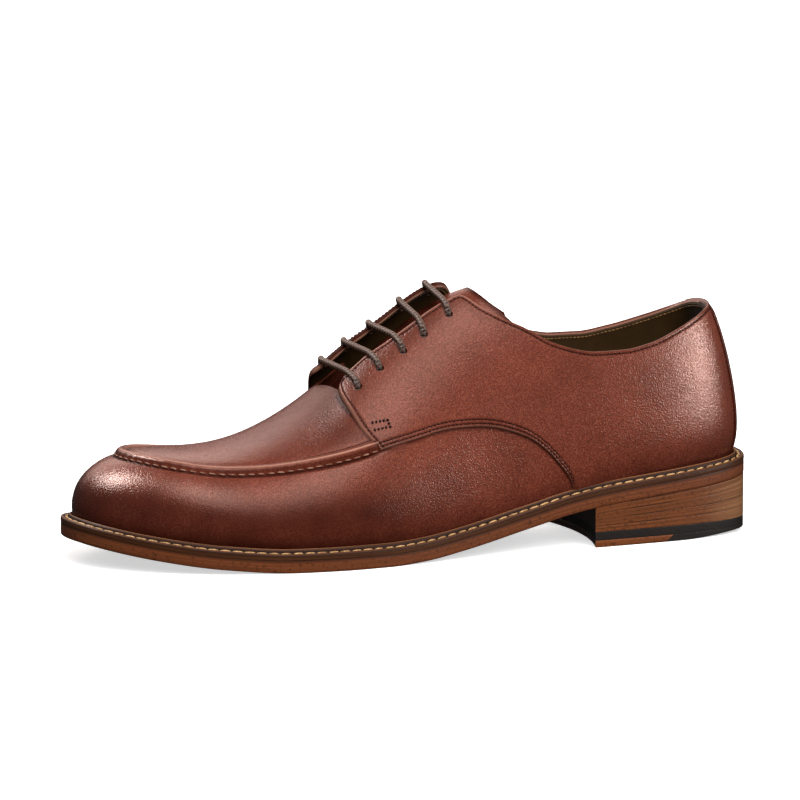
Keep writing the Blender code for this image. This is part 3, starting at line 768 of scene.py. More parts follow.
def lace_cord(colours):
    """Round waxed cotton lace, braided: slanting strands with painted shade between them, each catching a
    small light.
    """
    material, tree, shader = new_material("waxed cotton cord", 0.45)
    run = add_node(tree, "ShaderNodeUVMap", uv_map="cord")
    parts = add_node(tree, "ShaderNodeSeparateXYZ", {"Vector": run.outputs["UV"]})
    # strands 1.9 mm apart along the cord and two to a turn, coarser than real so that they show
    along = add_node(tree, "ShaderNodeMath", {0: parts.outputs["X"], 1: 2 * math.pi / 1.9},
                     operation="MULTIPLY")
    left = add_node(tree, "ShaderNodeMath", {0: parts.outputs["Y"], 1: 4 * math.pi,
                                             2: along.outputs["Value"]}, operation="MULTIPLY_ADD")
    right = add_node(tree, "ShaderNodeMath", {0: parts.outputs["Y"], 1: -4 * math.pi,
                                              2: along.outputs["Value"]}, operation="MULTIPLY_ADD")
    left = add_node(tree, "ShaderNodeMath", {0: left.outputs["Value"]}, operation="SINE")
    right = add_node(tree, "ShaderNodeMath", {0: right.outputs["Value"]}, operation="SINE")
    braid = add_node(tree, "ShaderNodeMath", {0: left.outputs["Value"], 1: right.outputs["Value"]},
                     operation="MAXIMUM")
    strand = add_node(tree, "ShaderNodeMapRange", {"Value": braid.outputs["Value"], "From Min": -0.5,
                                                   "From Max": 0.9})
    dark = tuple(0.2 * c for c in tuple(colours.lace)[:3]) + (1.0,)
    # darker towards the end that goes down into the eyelet
    away_from_end = add_node(tree, "ShaderNodeMapRange", {"Value": parts.outputs["X"], "From Min": 2.0,
                                                  "From Max": 6.0, "To Min": 0.2, "To Max": 1.0})
    share = add_node(tree, "ShaderNodeMath", {0: strand.outputs["Result"], 1: away_from_end.outputs["Result"]},
                     operation="MULTIPLY")
    colour = add_node(tree, "ShaderNodeMix", {"Factor": share.outputs["Value"], "A": dark,
                                              "B": tuple(colours.lace)}, data_type="RGBA")
    bump = add_node(tree, "ShaderNodeBump", {"Height": strand.outputs["Result"], "Strength": 0.8,
                                             "Distance": 0.0004})
    tree.links.new(colour.outputs["Result"], shader.inputs["Base Color"])
    tree.links.new(bump.outputs["Normal"], shader.inputs["Normal"])


def finishes():
    """All finishes of the shoe, made once."""
    if "polished calf leather" not in bpy.data.materials:
        colours = bpy.context.scene.shoe_colours
        upper_leather(colours)
        plain_leather("rough lining leather", tuple(colours.lining), hex_colour("#2e1f0e"), 0.75, 700.0,
                      0.0002)
        plain_leather("insole leather", hex_colour("#5b4630"), hex_colour("#46351f"), 0.7, 600.0, 0.0002)
        # the third colour is the lighter one for worn places and painted highlights
        layered_leather("welt leather", tuple(colours.welt), hex_colour("#1c0e08"), hex_colour("#a06a45"),
                        0.6, 0.0, 0.15)
        layered_leather("stained sole leather", tuple(colours.sole), hex_colour("#371c10"),
                        hex_colour("#8f5c38"), 0.5, 0.0, 0.2)
        layered_leather("stacked heel leather", tuple(colours.heel), hex_colour("#351909"),
                        hex_colour("#a87852"), 0.45, 1.0, 0.25)
        heel_rubber(colours)
        thread("brown linen thread", tuple(colours.seam_thread), hex_colour("#130603"), 0.8)
        thread("fawn linen thread", tuple(colours.apron_thread), hex_colour("#6e4433"), 0.6)
        thread("straw linen thread", hex_colour("#8d6a44"), hex_colour("#553b20"), 0.7)
        thread("tan linen thread", tuple(colours.welt_thread), hex_colour("#7d4c26"), 0.4)
        lace_cord(colours)
    return {key: bpy.data.materials[name] for key, name in FINISHES.items()}


FINISHES = {
    "upper": "polished calf leather",
    "lining": "rough lining leather",
    "insole": "insole leather",
    "welt": "welt leather",
    "sole": "stained sole leather",
    "heel": "stacked heel leather",
    "rubber": "moulded rubber",
    "seam": "brown linen thread",
    "apron": "fawn linen thread",
    "welt_thread": "tan linen thread",
    "lining_thread": "straw linen thread",
    "lace": "waxed cotton cord",
}


def vamp_stations():
    """Places along the foot of the vamp from under the quarter to the toe, closer at the throat."""
    foot, run = foot_of("outer")
    steps = np.linspace(np.interp(VAMP_BACK, foot, run), run[-1], 215)
    return np.union1d(np.interp(steps, run, foot), np.arange(THROAT[0] - 0.4, THROAT[1] + 0.6, 0.4))


def seam_stretch(side, s):
    """Millimetres across the apron's seam for each step up the wall."""
    middle = apron_seam(s)[..., 0]
    return np.linalg.norm(last(side, s, middle + 0.01, 0) - last(side, s, middle - 0.01, 0), axis=-1) / 0.02


def apron_line(side, s):
    """The line of the apron's stitches, and the length run along it."""
    line = last(side, s, apron_seam(s)[..., 0] + APRON_ROW / seam_stretch(side, s), 0)
    return line, run_length(line)


def vamp_rows(side, s):
    """Rows up the vamp at each place: up, and distance across the apron's seam in millimetres."""
    middle = apron_seam(s)[..., 0]
    stretch = seam_stretch(side, s)
    top = 0.78 + 0.22 * soft_step(*THROAT, s)
    low = np.linspace(0, 1, 26, endpoint=False)[None] * (middle - 5 / stretch)[:, None]
    band = middle[:, None] + np.linspace(-5, 6, 36)[None] / stretch[:, None]
    rest = np.linspace(0, 1, 26)[1:][None]
    high = (middle + 6 / stretch)[:, None] * (1 - rest) + top[:, None] * rest
    up = np.concatenate([low, band, high], axis=1)
    across = (up - middle[:, None]) * stretch[:, None]
    # under the quarter the wing ends just above the quarter's seam
    wing = quarter_seam(s) + 0.1
    limit = wing + (top - wing) * soft_step(164.0, 174.0, s)
    return up * (limit / up[:, -1])[:, None], across


def vamp_rise(side, s, across, pitch):
    """How far the vamp's face stands out: the apron's lip, pulled in at each stitch."""
    fade = soft_step(*LIP_START, s)
    _, run = apron_line(side, s)
    pull = 0.5 + 0.5 * np.cos(2 * math.pi * (run - run[-1]) / pitch)
    lip = apron_lip(across + 0.35 * (pull[:, None] - 0.5) * hump(across, -2.2, 1.6))
    return lip * fade[:, None]


def beside_quarter(side, s, up):
    """Distance of a place on the vamp from the edge of the quarter that lies over it."""
    steep = np.linalg.norm(last(side, s, up + 0.005, 0) - last(side, s, np.maximum(up - 0.005, 0), 0),
                           axis=-1) / 0.01
    below = np.where(s < CORNER[side], (quarter_low(side, s) - up) * steep, FAR)
    share = np.linspace(0, 1, 60)
    edge_s, edge_up = quarter_place(side, CORNER[side], share, quarter_low(side, CORNER[side]))
    ahead = np.where(up > edge_up[0], s - np.interp(up, edge_up, edge_s), FAR)
    return np.minimum(abs(below), abs(ahead))


def add_vamp(material, sizes):
    """Vamp wall and apron in one sheet, joined over the toe and along the ridge."""
    sheets, backs, shades, lights, shines, faces = [], [], [], [], [], []
    s = vamp_stations()
    for side in BOTH_SIDES:
        up, across = vamp_rows(side, s)
        rise = vamp_rise(side, s, across, sizes.apron_pitch * MM)
        grid = last(side, s[:, None], up, rise)
        height = grid[..., 2] - grid[:, :1, 2]
        front = soft_step(*LIP_START, s)[:, None]
        # painted shade: the wall is darkest a third of the way up and a little less below; it is darker again
        # close to the welt
        part = up / apron_seam(s)
        shade = (0.75 - 0.28 * (1 - soft_step(0.05, 0.4, part))) * (1 - soft_step(0.25, 0.78, part))
        shade = shade * soft_step(120.0, 190.0, s)[:, None]
        shade = shade + 0.5 * np.exp(-height / 3.0)
        # painted shade: a dark line on the vamp along the edge of the quarter over it
        shade = np.maximum(shade, 0.8 * hump(beside_quarter(side, s[:, None], up), 0.0, 1.0))
        # painted shade in the creases beside the apron's lip and on its lower face
        lip = np.maximum(0.95 * hump(across, -3.1, 0.9), 0.95 * hump(across, 3.2, 0.5))
        lip = np.maximum(lip, np.maximum(0.4 * hump(across, 1.5, 0.4), 0.55 * hump(across, -1.2, 0.9)))
        shade = np.maximum(shade, front * lip)
        # darker on the apron towards the facings
        near = front * (1 - soft_step(186.0, 236.0, s))[:, None]
        shade = np.maximum(shade, 0.42 * near * soft_step(3.0, 6.0, across))
        faces += side_faces(side, up.shape, sheets)
        sheets.append(grid.reshape(-1, 3))
        backs.append(last(side, s[:, None], up, -VAMP_DEPTH).reshape(-1, 3))
        shades.append(np.clip(shade, 0, 1).reshape(-1))
        # painted highlights: two light lines along the crest of the apron's lip
        painted_lip_highlight = np.maximum(0.5 * hump(across, 2.4, 0.3), 0.9 * hump(across, 0.7, 0.35))
        lights.append((front * painted_lip_highlight).reshape(-1))
        shines.append(np.repeat(soft_step(225.0, 260.0, s), up.shape[1]))
    outer, inner = np.concatenate(sheets), np.concatenate(backs)
    return wall("vamp", outer, inner, faces, material, shade=np.concatenate(shades),
                worn=np.concatenate(lights), polish=np.concatenate(shines))


def quarter_columns(side, trim):
    """Places along the foot of a quarter, closer together at its two ends and by the eyelets."""
    foot, run = foot_of(side)
    end = np.interp(CORNER[side] - trim, foot, run)
    eyelets = np.interp(128.0, foot, run)
    back = np.array([0, 0.35, 0.8, 1.4])
    front = np.array([5.4, 4.4, 3.6, 3.0, 2.4, 1.9, 1.5, 1.2, 0.9, 0.65, 0.4, 0.2, 0.08, 0])
    body = np.r_[np.arange(2.2, eyelets, 1.15), np.arange(eyelets, end - 6.0, 0.8)]
    steps = np.r_[back, body, end - front]
    return np.interp(steps, run, foot), end - steps


def quarter_place(side, base, share, low):
    """Place on a quarter: base along its foot, share of the way from low to its top edge."""
    lean = soft_step(120.0, CORNER[side], base)
    s = base + facing_front(np.clip(share, 0, 1))[..., 0] * lean
    s_top = base + facing_front(1.0)[0] * lean
    return s, low + share * (top_edge(side, s_top) - low)


def quarter_low(side, base):
    """Lower edge of a quarter: the welt at the heel, then the seam over the vamp's wing."""
    along = base * CORNER["outer"] / CORNER[side]
    return np.where(along < QUARTER_SEAM["from_heel"][0], 0.0, quarter_seam(along))


def heel_tuck(side, s, up):
    """How far the quarter lies in towards the last round the heel, most just above the welt."""
    height = last(side, s, up, 0)[..., 2] - welt_top(s)
    return (0.3 + 2.6 * np.exp(-height / 8.0)) * (1 - soft_step(30.0, 90.0, s))


QUARTER_LOW = np.array([0, 0.1, 0.25, 0.45, 0.75, 1.0, 1.2, 1.4, 1.75, 2.2, 2.6, 2.9, 3.2, 3.6, 4.4, 5.4])
QUARTER_TOP = np.array([5.4, 4.2, 3.2, 2.6, 2.2, 1.9, 1.6, 1.35, 1.2, 1.05, 0.8, 0.5, 0.25, 0.1, 0])


def quarter_grid(side):
    """Grid over a quarter: places, and distances from its lower, top and front edges."""
    base, to_front = quarter_columns(side, 0.0)
    low = quarter_low(side, base)
    fine = np.linspace(0, 1, 121)
    s, up = quarter_place(side, base[:, None], fine[None], low[:, None])
    line = last(side, s, up, raised(side, s, up))
    lengths = np.linalg.norm(np.diff(line, axis=1), axis=2)
    run = np.concatenate([np.zeros((len(base), 1)), np.cumsum(lengths, axis=1)], 1)
    # columns that meet the top edge at a slant reach further for the same distance from it
    ahead = np.gradient(line[:, -1], axis=0)
    climb = line[:, -1] - line[:, -4]
    slant = np.linalg.norm(np.cross(ahead, climb), axis=1)
    slant = np.clip(slant / np.linalg.norm(ahead, axis=1) / np.linalg.norm(climb, axis=1), 0.25, 1.0)
    middle = np.linspace(0, 1, 58)[1:-1]
    shares, from_low, from_top = [], [], []
    for i in range(len(base)):
        length = run[i, -1]
        top = QUARTER_TOP / slant[i]
        spread = QUARTER_LOW[-1] + middle * (length - QUARTER_LOW[-1] - top[0])
        steps = np.r_[QUARTER_LOW, spread, length - top]
        shares.append(np.interp(steps, run[i], fine))
        from_low.append(steps)
        from_top.append((length - steps) * slant[i])
    shares = np.array(shares)
    s, up = quarter_place(side, base[:, None], shares, low[:, None])
    to_front = np.broadcast_to(to_front[:, None], s.shape)
    return s, up, np.array(from_low), np.array(from_top), to_front, base


def seam_distance(from_low, base):
    """Distance from the seam over the vamp's wing; far from it where the edge is at the welt."""
    return np.where((base > QUARTER_SEAM["from_heel"][0])[:, None], from_low, FAR)


def round_edge(distance, radius):
    """Rounding of a cut edge: 0 at the edge, 1 from the radius inwards."""
    t = np.clip(distance / radius, 0, 1)
    return np.sqrt(np.clip(1 - (1 - t) ** 2, 0, 1))


def quarter_rise(from_low, from_top, to_front, base, thick):
    """Outer face of a quarter: rounded cut edges, and grooves that the stitching pulls in."""
    low = seam_distance(from_low, base)
    cut = np.minimum(low, to_front)
    rise = thick * np.minimum(round_edge(cut, 0.5), round_edge(from_top, 0.8))
    groove = np.maximum(hump(low, SEAM_ROWS[0], 0.35), hump(low, SEAM_ROWS[1], 0.35))
    groove = np.maximum(groove, hump(to_front, FRONT_ROW, 0.35))
    groove = np.maximum(groove, hump(from_top, top_row(base)[:, None], 0.35))
    return rise - 0.2 * groove * (cut > 0.5)


def top_row(base):
    """Distance of the stitch row from the top edge: wider on the facing than on the collar."""
    return COLLAR_ROW + (FACING_ROW - COLLAR_ROW) * soft_step(118.0, 132.0, base)


def punch(grid, back, centres, radius):
    """Opens round holes in a grid of points; gives the quads that stay."""
    rows, columns = grid.shape[:2]
    keep = np.ones((rows - 1, columns - 1), bool)
    for centre, under in centres:
        middle = (grid[:-1, :-1] + grid[1:, 1:] + grid[:-1, 1:] + grid[1:, :-1]) / 4
        hole = np.linalg.norm(middle - centre, axis=-1) < radius * 0.98
        keep &= ~hole
        touched = np.zeros((rows, columns), bool)
        for i, j in np.argwhere(hole):
            touched[i:i + 2, j:j + 2] = True
        for i, j in np.argwhere(touched):
            away = grid[i, j] - centre
            if np.linalg.norm(away) > radius * 0.45:
                away *= radius / np.linalg.norm(away)
                grid[i, j] = centre + away
                back[i, j] = under + away
    return keep


def eyelet_places(side, out):
    """Centres of the eyelets at a height over the last."""
    s, up = np.array(EYELETS[side]).T
    return last(side, s, up, out + raised(side, s, up))


def add_quarter(side, material, sizes):
    """One side panel with its facing, cut edges and punched eyelets."""
    thick = sizes.leather * MM
    s, up, from_low, from_top, to_front, base = quarter_grid(side)
    rise = quarter_rise(from_low, from_top, to_front, base, thick)
    lifted = raised(side, s, up) - heel_tuck(side, s, up)
    grid = last(side, s, up, rise + lifted)
    back = last(side, s, up, lifted - QUARTER_DEPTH)
    centres = list(zip(eyelet_places(side, thick), eyelet_places(side, -QUARTER_DEPTH)))
    keep = punch(grid, back, centres, sizes.eyelet * MM)
    height = grid[..., 2] - welt_top(s)
    low = seam_distance(from_low, base)
    # darker close to the welt, and painted shade in the grooves of the stitch rows
    shade = 0.3 * np.exp(-np.maximum(height, 0) / 6.0)
    for distance in (low - SEAM_ROWS[0], low - SEAM_ROWS[1], to_front - FRONT_ROW,
                     from_top - top_row(base)[:, None]):
        shade = np.maximum(shade, 0.75 * hump(distance, 0.0, 0.45))
    # the folded top edge is lighter along its crest, partly its own rubbed edge and partly a painted
    # highlight; the collar just under the crest and the facing near its edge are darkened
    facing = soft_step(112.0, 130.0, base)[:, None]
    worn = (0.2 + 0.5 * facing) * hump(from_top, 0.4 + 0.3 * facing, 0.24 + 0.1 * facing)
    shade = np.maximum(shade, 0.5 * (1 - facing) * (1 - soft_step(0.5, 1.4, from_top)))
    shade = np.maximum(shade, 0.22 * facing * (1 - soft_step(4.0, 9.0, from_top)))
    lip = np.zeros_like(worn)
    if side == "inner":
        shade = np.maximum(shade, (1 - soft_step(4.0, 7.0, from_top)) * facing)
        worn = 0.04 * hump(from_top, 0.1, 0.2)
        lip = 0.6 * hump(from_top, 0.0, 0.3)
    # lighter along the cut edges, partly the raw edge's own colour and partly a painted highlight of the
    # rounded edge
    worn = np.maximum(worn, 0.7 * hump(np.minimum(low, to_front), 0.12, 0.26))
    faces = grid_faces(*s.shape, keep=keep)
    return wall(side + "_quarter", grid, back, faces, material, shade=(shade, np.ones_like(shade)),
                worn=(worn, lip), polish=1 - soft_step(25.0, 70.0, s))


def add_backstay(material, sizes):
    """Strip over the seam at the back of the heel, from the welt to the collar."""
    thick = sizes.leather * MM
    sheets, backs, shades, faces = [], [], [], []
    for side in BOTH_SIDES:
        foot, run = foot_of(side)
        across = BACKSTAY - np.array(BACKSTAY_COLUMNS)
        base = np.interp(across, run, foot)[:, None]
        up = np.linspace(0, 0.996, BACKSTAY_ROWS)[None] * top_edge(side, base)
        from_edge = np.broadcast_to((BACKSTAY - across)[:, None], up.shape)
        ground = thick - heel_tuck(side, base, up)
        rise = 0.85 * round_edge(from_edge, 0.45) - 0.18 * hump(from_edge, BACKSTAY_SEAM, 0.35)
        rise = rise * (1 - soft_step(0.9, 1.0, np.linspace(0, 1, BACKSTAY_ROWS)))[None]
        faces += side_faces(side, up.shape, sheets)
        grid = last(side, base, up, ground + rise)
        back = last(side, base, up, ground - 0.3)
        if side == "inner":
            # both halves share the column at the middle of the back
            grid[0], back[0] = sheets[0][:BACKSTAY_ROWS], backs[0][:BACKSTAY_ROWS]
        sheets.append(grid.reshape(-1, 3))
        backs.append(back.reshape(-1, 3))
        height = grid[..., 2] - welt_top(base)
        # painted shade in the stitch groove and along the strip's edge; darker close to the welt
        lines = 0.9 * np.maximum(hump(from_edge, BACKSTAY_SEAM, 0.4), hump(from_edge, 0.0, 0.5))
        shades.append(np.maximum(0.3 * np.exp(-height / 6.0), lines).reshape(-1))
    outer, inner = np.concatenate(sheets), np.concatenate(backs)
    return wall("backstay", outer, inner, faces, material, shade=np.concatenate(shades),
                polish=np.ones(len(outer)))


def add_lining(side, material):
    """Lining behind a quarter, from the insole to just under the top edge."""
    base, _ = quarter_columns(side, 1.5)
    base = base[::2] if len(base) % 2 else np.r_[base[::2], base[-1]]
    low = quarter_low(side, base)
    share = np.linspace(0, 1, 40)
    _, top = quarter_place(side, base, np.full_like(base, 0.993), low)
    up = share[None] * top[:, None]
    part = np.clip((up - low[:, None]) / (top - low)[:, None], 0, 1)
    s, _ = quarter_place(side, base[:, None], part, low[:, None])
    lifted = raised(side, s, up) - heel_tuck(side, s, up)
    outer = last(side, s, up, lifted - LINING_DEPTHS[0])
    inner = last(side, s, up, lifted - LINING_DEPTHS[1])
    return wall(side + "_lining", outer, inner, grid_faces(*s.shape), material)


def add_tongue(material):
    """Tongue under the lacing, with painted shade in the throat; dark inside and along its cut edge."""
    up = np.linspace(TONGUE_EDGE, 1, 26)
    here = np.linspace(TONGUE_FRONT, TONGUE_TOP, 90)
    depth = tongue_depth(here)[:, None]
    sheets = []
    for out in (-depth, -depth - 1.6):
        halves = []
        for side in BOTH_SIDES:
            s = here[:, None] - TONGUE_LEAN[side] * (1 - up[None]) ** 2
            halves.append(last(side, s, up[None], out))
        sheets.append(np.concatenate([halves[0][:, :-1], halves[1][:, ::-1]], axis=1))
    rows, columns = sheets[0].shape[:2]
    # painted shade in the throat, under the facings; the top end is dark along its cut edge
    shade = np.maximum(soft_step(128.0, 137.0, here),
                       0.8 * (1 - soft_step(TONGUE_TOP + 0.8, TONGUE_TOP + 3.0, here)))
    shade = np.broadcast_to(shade[:, None], (rows, columns))
    return wall("tongue_leather", sheets[0], sheets[1], grid_faces(rows, columns), material,
                shade=(shade, np.full((rows, columns), 1.0)))


def outline_stations(count):
    """Places round the outline, outer side from heel to toe and then inner side back to the heel."""
    stations = []
    for side in BOTH_SIDES:
        rows = SIDES[side]
        run = run_length(np.c_[rows[:, :2], np.zeros(len(rows))])
        where = np.interp(np.linspace(0, run[-1], count + 1), run, np.arange(len(rows)))
        stations += [(side, w) for w in (where[:-1] if side == "outer" else where[:0:-1])]
    return stations


def ring(name, section, base_height, material, count=300):
    """Closed ring round the outline with one section; level marks the height in its section."""
    inset, height = (np.array(section[key], float) for key in ("inset", "height"))
    points = []
    for side, where in outline_stations(count):
        s, y, _, _ = edge_point(side, where, inset)
        points.append(np.stack([s, y, sole_line(s) + base_height + height], -1))
    points = np.array(points)
    rows, columns = points.shape[:2]
    faces = grid_faces(rows + 1, columns, closed=True)
    faces = [tuple(i % (rows * columns) for i in face) for face in faces]
    # painted shade in the grooves either side of the stitches and on the part under the upper
    groove = np.maximum(hump(inset, 3.05, 0.35), hump(inset, 1.75, 0.3)) + (inset > 5.0)
    # painted highlights along the crest of the bead and the top of the outer rim
    lightening = np.maximum(0.8 * hump(inset, 4.0, 0.3), 0.35 * hump(inset, 0.6, 0.4) * (height > 2.0))
    # the lower half of its edge is rubbed a little
    lightening = np.maximum(lightening, 0.16 * (inset < 0.6) * (1 - soft_step(0.8, 1.8, height)))
    marks = {"level": height, "shade": np.clip(groove, 0, 1) * 0.9, "worn": lightening}
    return solid(name, points, faces, material, sharp=60.0,
                 **{mark: np.tile(values, rows) for mark, values in marks.items()})


def plate(name, section, base_height, inset, material, across=9, count=150):
    """Plate inside the outline with a shaped edge; level marks the height in its edge."""
    flat = np.c_[section["inset"], section["height"]]
    turn = np.linspace(0, math.pi, count + 1)
    loops, levels = [], []
    heel, tip = SIDES["outer"][0, 0], SIDES["outer"][-1, 0]
    for here in heel + (tip - heel) * (1 - np.cos(turn)) / 2:
        ends = []
        for side in BOTH_SIDES:
            rows = SIDES[side]
            where = np.interp(here, rows[:, 0], np.arange(len(rows)))
            s, y, _, _ = edge_point(side, where, flat[:, 0] + inset)
            ends.append(np.stack([s, y, sole_line(s) + base_height + flat[:, 1]], -1))
        share = np.linspace(0, 1, across)[1:-1, None]
        top = ends[0][-1] * (1 - share) + ends[1][-1] * share
        bottom = ends[1][0] * (1 - share) + ends[0][0] * share
        top[:, 2] = sole_line(top[:, 0]) + base_height + flat[-1, 1]
        bottom[:, 2] = sole_line(bottom[:, 0]) + base_height + flat[0, 1]
        loops.append(np.concatenate([ends[0], top, ends[1][::-1], bottom]))
        level = flat[:, 1]
        levels.append(np.r_[level, np.full(across - 2, level[-1]), level[::-1],
                            np.full(across - 2, level[0])])
    loops = np.array(loops)
    faces = grid_faces(*loops.shape[:2], closed=True)
    levels = np.array(levels)
    # the stain of the welt runs a little way down the edge
    shade = 0.9 * soft_step(flat[-1, 1] - 1.8, flat[-1, 1] - 0.2, levels)
    return solid(name, loops, faces, material, sharp=60.0, level=levels, shade=shade)


def heel_loop(start=None, end=None):
    """Outline of the heel: round its back from one breast corner to the other, then along the breast."""
    parts = {}
    for side in BOTH_SIDES:
        rows = SIDES[side]
        first = 0.0 if start is None else np.interp(start, rows[:, 0], np.arange(len(rows)))
        stop = np.interp(BREAST[side] if end is None else end, rows[:, 0], np.arange(len(rows)))
        run = run_length(np.c_[rows[:, :2], np.zeros(len(rows))])
        steps = np.linspace(np.interp(first, np.arange(len(rows)), run),
                            np.interp(stop, np.arange(len(rows)), run), 70)
        where = np.interp(steps, run, np.arange(len(rows)))
        s, y, _, _ = edge_point(side, where, HEEL_INSET)
        parts[side] = np.c_[s, y]
    share = np.linspace(0, 1, BREAST_STEPS + 2)[1:-1, None]
    front = parts["inner"][-1] * (1 - share) + parts["outer"][-1] * share
    if end is None:
        front[:, 0] -= BREAST["hollow"] * 4 * share[:, 0] * (1 - share[:, 0])
    loop = [parts["outer"][::-1], parts["inner"][0 if start is not None else 1:], front]
    if start is not None:
        back = parts["outer"][0] * (1 - share) + parts["inner"][0] * share
        loop.insert(1, back)
    return np.concatenate(loop)


def heel_layer(name, loop_low, loop_high, low, high, material, soften=0.04, levels=(0.0, 2.0)):
    """One layer of the heel between two heights, its edge slightly rounded; its breast is darkened, partly a
    stain and partly painted shade.
    """
    def moved(loop, inset):
        ahead = np.roll(loop, -1, axis=0) - np.roll(loop, 1, axis=0)
        ahead /= np.maximum(np.hypot(*ahead.T)[:, None], 1e-9)
        return loop - inset * np.c_[ahead[:, 1], -ahead[:, 0]] * turn_sign

    area = np.sum(loop_low[:, 0] * np.roll(loop_low[:, 1], -1) - np.roll(loop_low[:, 0], -1) * loop_low[:, 1])
    turn_sign = 1.0 if area > 0 else -1.0
    count = len(loop_low)
    breast = np.where(np.arange(count) >= count - BREAST_STEPS, 0.9, 0.0)
    rings, marks = [], []
    for part, inset in ((0.0, soften), (0.06, soften * 0.3), (0.16, 0.0), (0.3, 0.0), (0.5, 0.0), (0.7, 0.0),
                        (0.84, 0.0), (0.94, soften * 0.3), (1.0, soften)):
        loop = moved(loop_low * (1 - part) + loop_high * part, inset)
        bottom, top = low(loop[:, 0]), high(loop[:, 0])
        rings.append(np.c_[loop, bottom + part * (top - bottom)])
        marks.append(np.full(count, levels[0] + part * (levels[1] - levels[0])))
    points = np.concatenate(rings)
    faces = grid_faces(len(rings), count, closed=True)
    for first, height in ((0, low), (len(rings) - 1, high)):
        middle = rings[first].mean(axis=0)
        middle[2] = height(middle[0])
        points = np.r_[points, [middle]]
        hub = len(points) - 1
        for j in range(count):
            faces.append((first * count + j, first * count + (j + 1) % count, hub))
    level = np.r_[np.concatenate(marks), levels]
    shade = np.r_[np.tile(breast, len(rings)), 0.3, 0.3]
    # painted highlight: lighter towards the back, standing in for the heel's gloss
    lightening = 0.75 * (1 - soft_step(2.0, 34.0, points[:, 0]))
    return solid(name, points, faces, material, sharp=60.0, level=level, shade=shade, worn=lightening)


def lace_path(number, thick):
    """Centre line of one crossing: up out of an eyelet, tight over both facings and down into the other."""
    over = thick / 2 + 1.3
    crest = LACE_CREST[number]

    def along(side, up, out):
        s, eye = EYELETS[side][number]
        whole = 2 - CREST_UP - eye if side == "outer" else CREST_UP - eye
        here = s + (crest - s) * (up - eye) / whole
        return last(side, here, up, out + raised(side, here, up))

    eye_out, eye_in = EYELETS["outer"][number][1], EYELETS["inner"][number][1]
    edge = float(facing_edge["outer"](EYELETS["outer"][number][0]))
    over_outer = along("outer", np.linspace(eye_out + 0.02, edge, 8), np.linspace(over, over - 0.9, 8))
    over_inner = along("inner", np.linspace(0.98, eye_in + 0.02, 10), over)
    sunk = np.array([0.0, 0.006, 0.012])
    deep = np.array([-0.9, 0.0, 1.2])
    into_outer = along("outer", eye_out + sunk - 0.004, deep)
    into_inner = along("inner", eye_in + sunk - 0.004, deep)[::-1]
    over_both = taut(np.concatenate([over_outer, over_inner]))
    return eased(np.concatenate([into_outer, over_both, into_inner]), 0.4, 14)


def seam_object(name, lines):
    """Loose lines for stitching, each with the normal of the leather that it lies on."""
    points, edges, normals = [], [], []
    for line, up in lines:
        first = sum(len(p) for p in points)
        points.append(place(line))
        normals.append(up)
        edges += [(first + i, first + i + 1) for i in range(len(line) - 1)]
    mesh = bpy.data.meshes.new(name)
    mesh.from_pydata(np.concatenate(points).tolist(), edges, [])
    layer = mesh.attributes.new("leather_normal", "FLOAT_VECTOR", "POINT")
    layer.data.foreach_set("vector", np.concatenate(normals).astype(np.float32).reshape(-1))
    item = bpy.data.objects.new(name, mesh)
    bpy.context.scene.collection.objects.link(item)
    return item


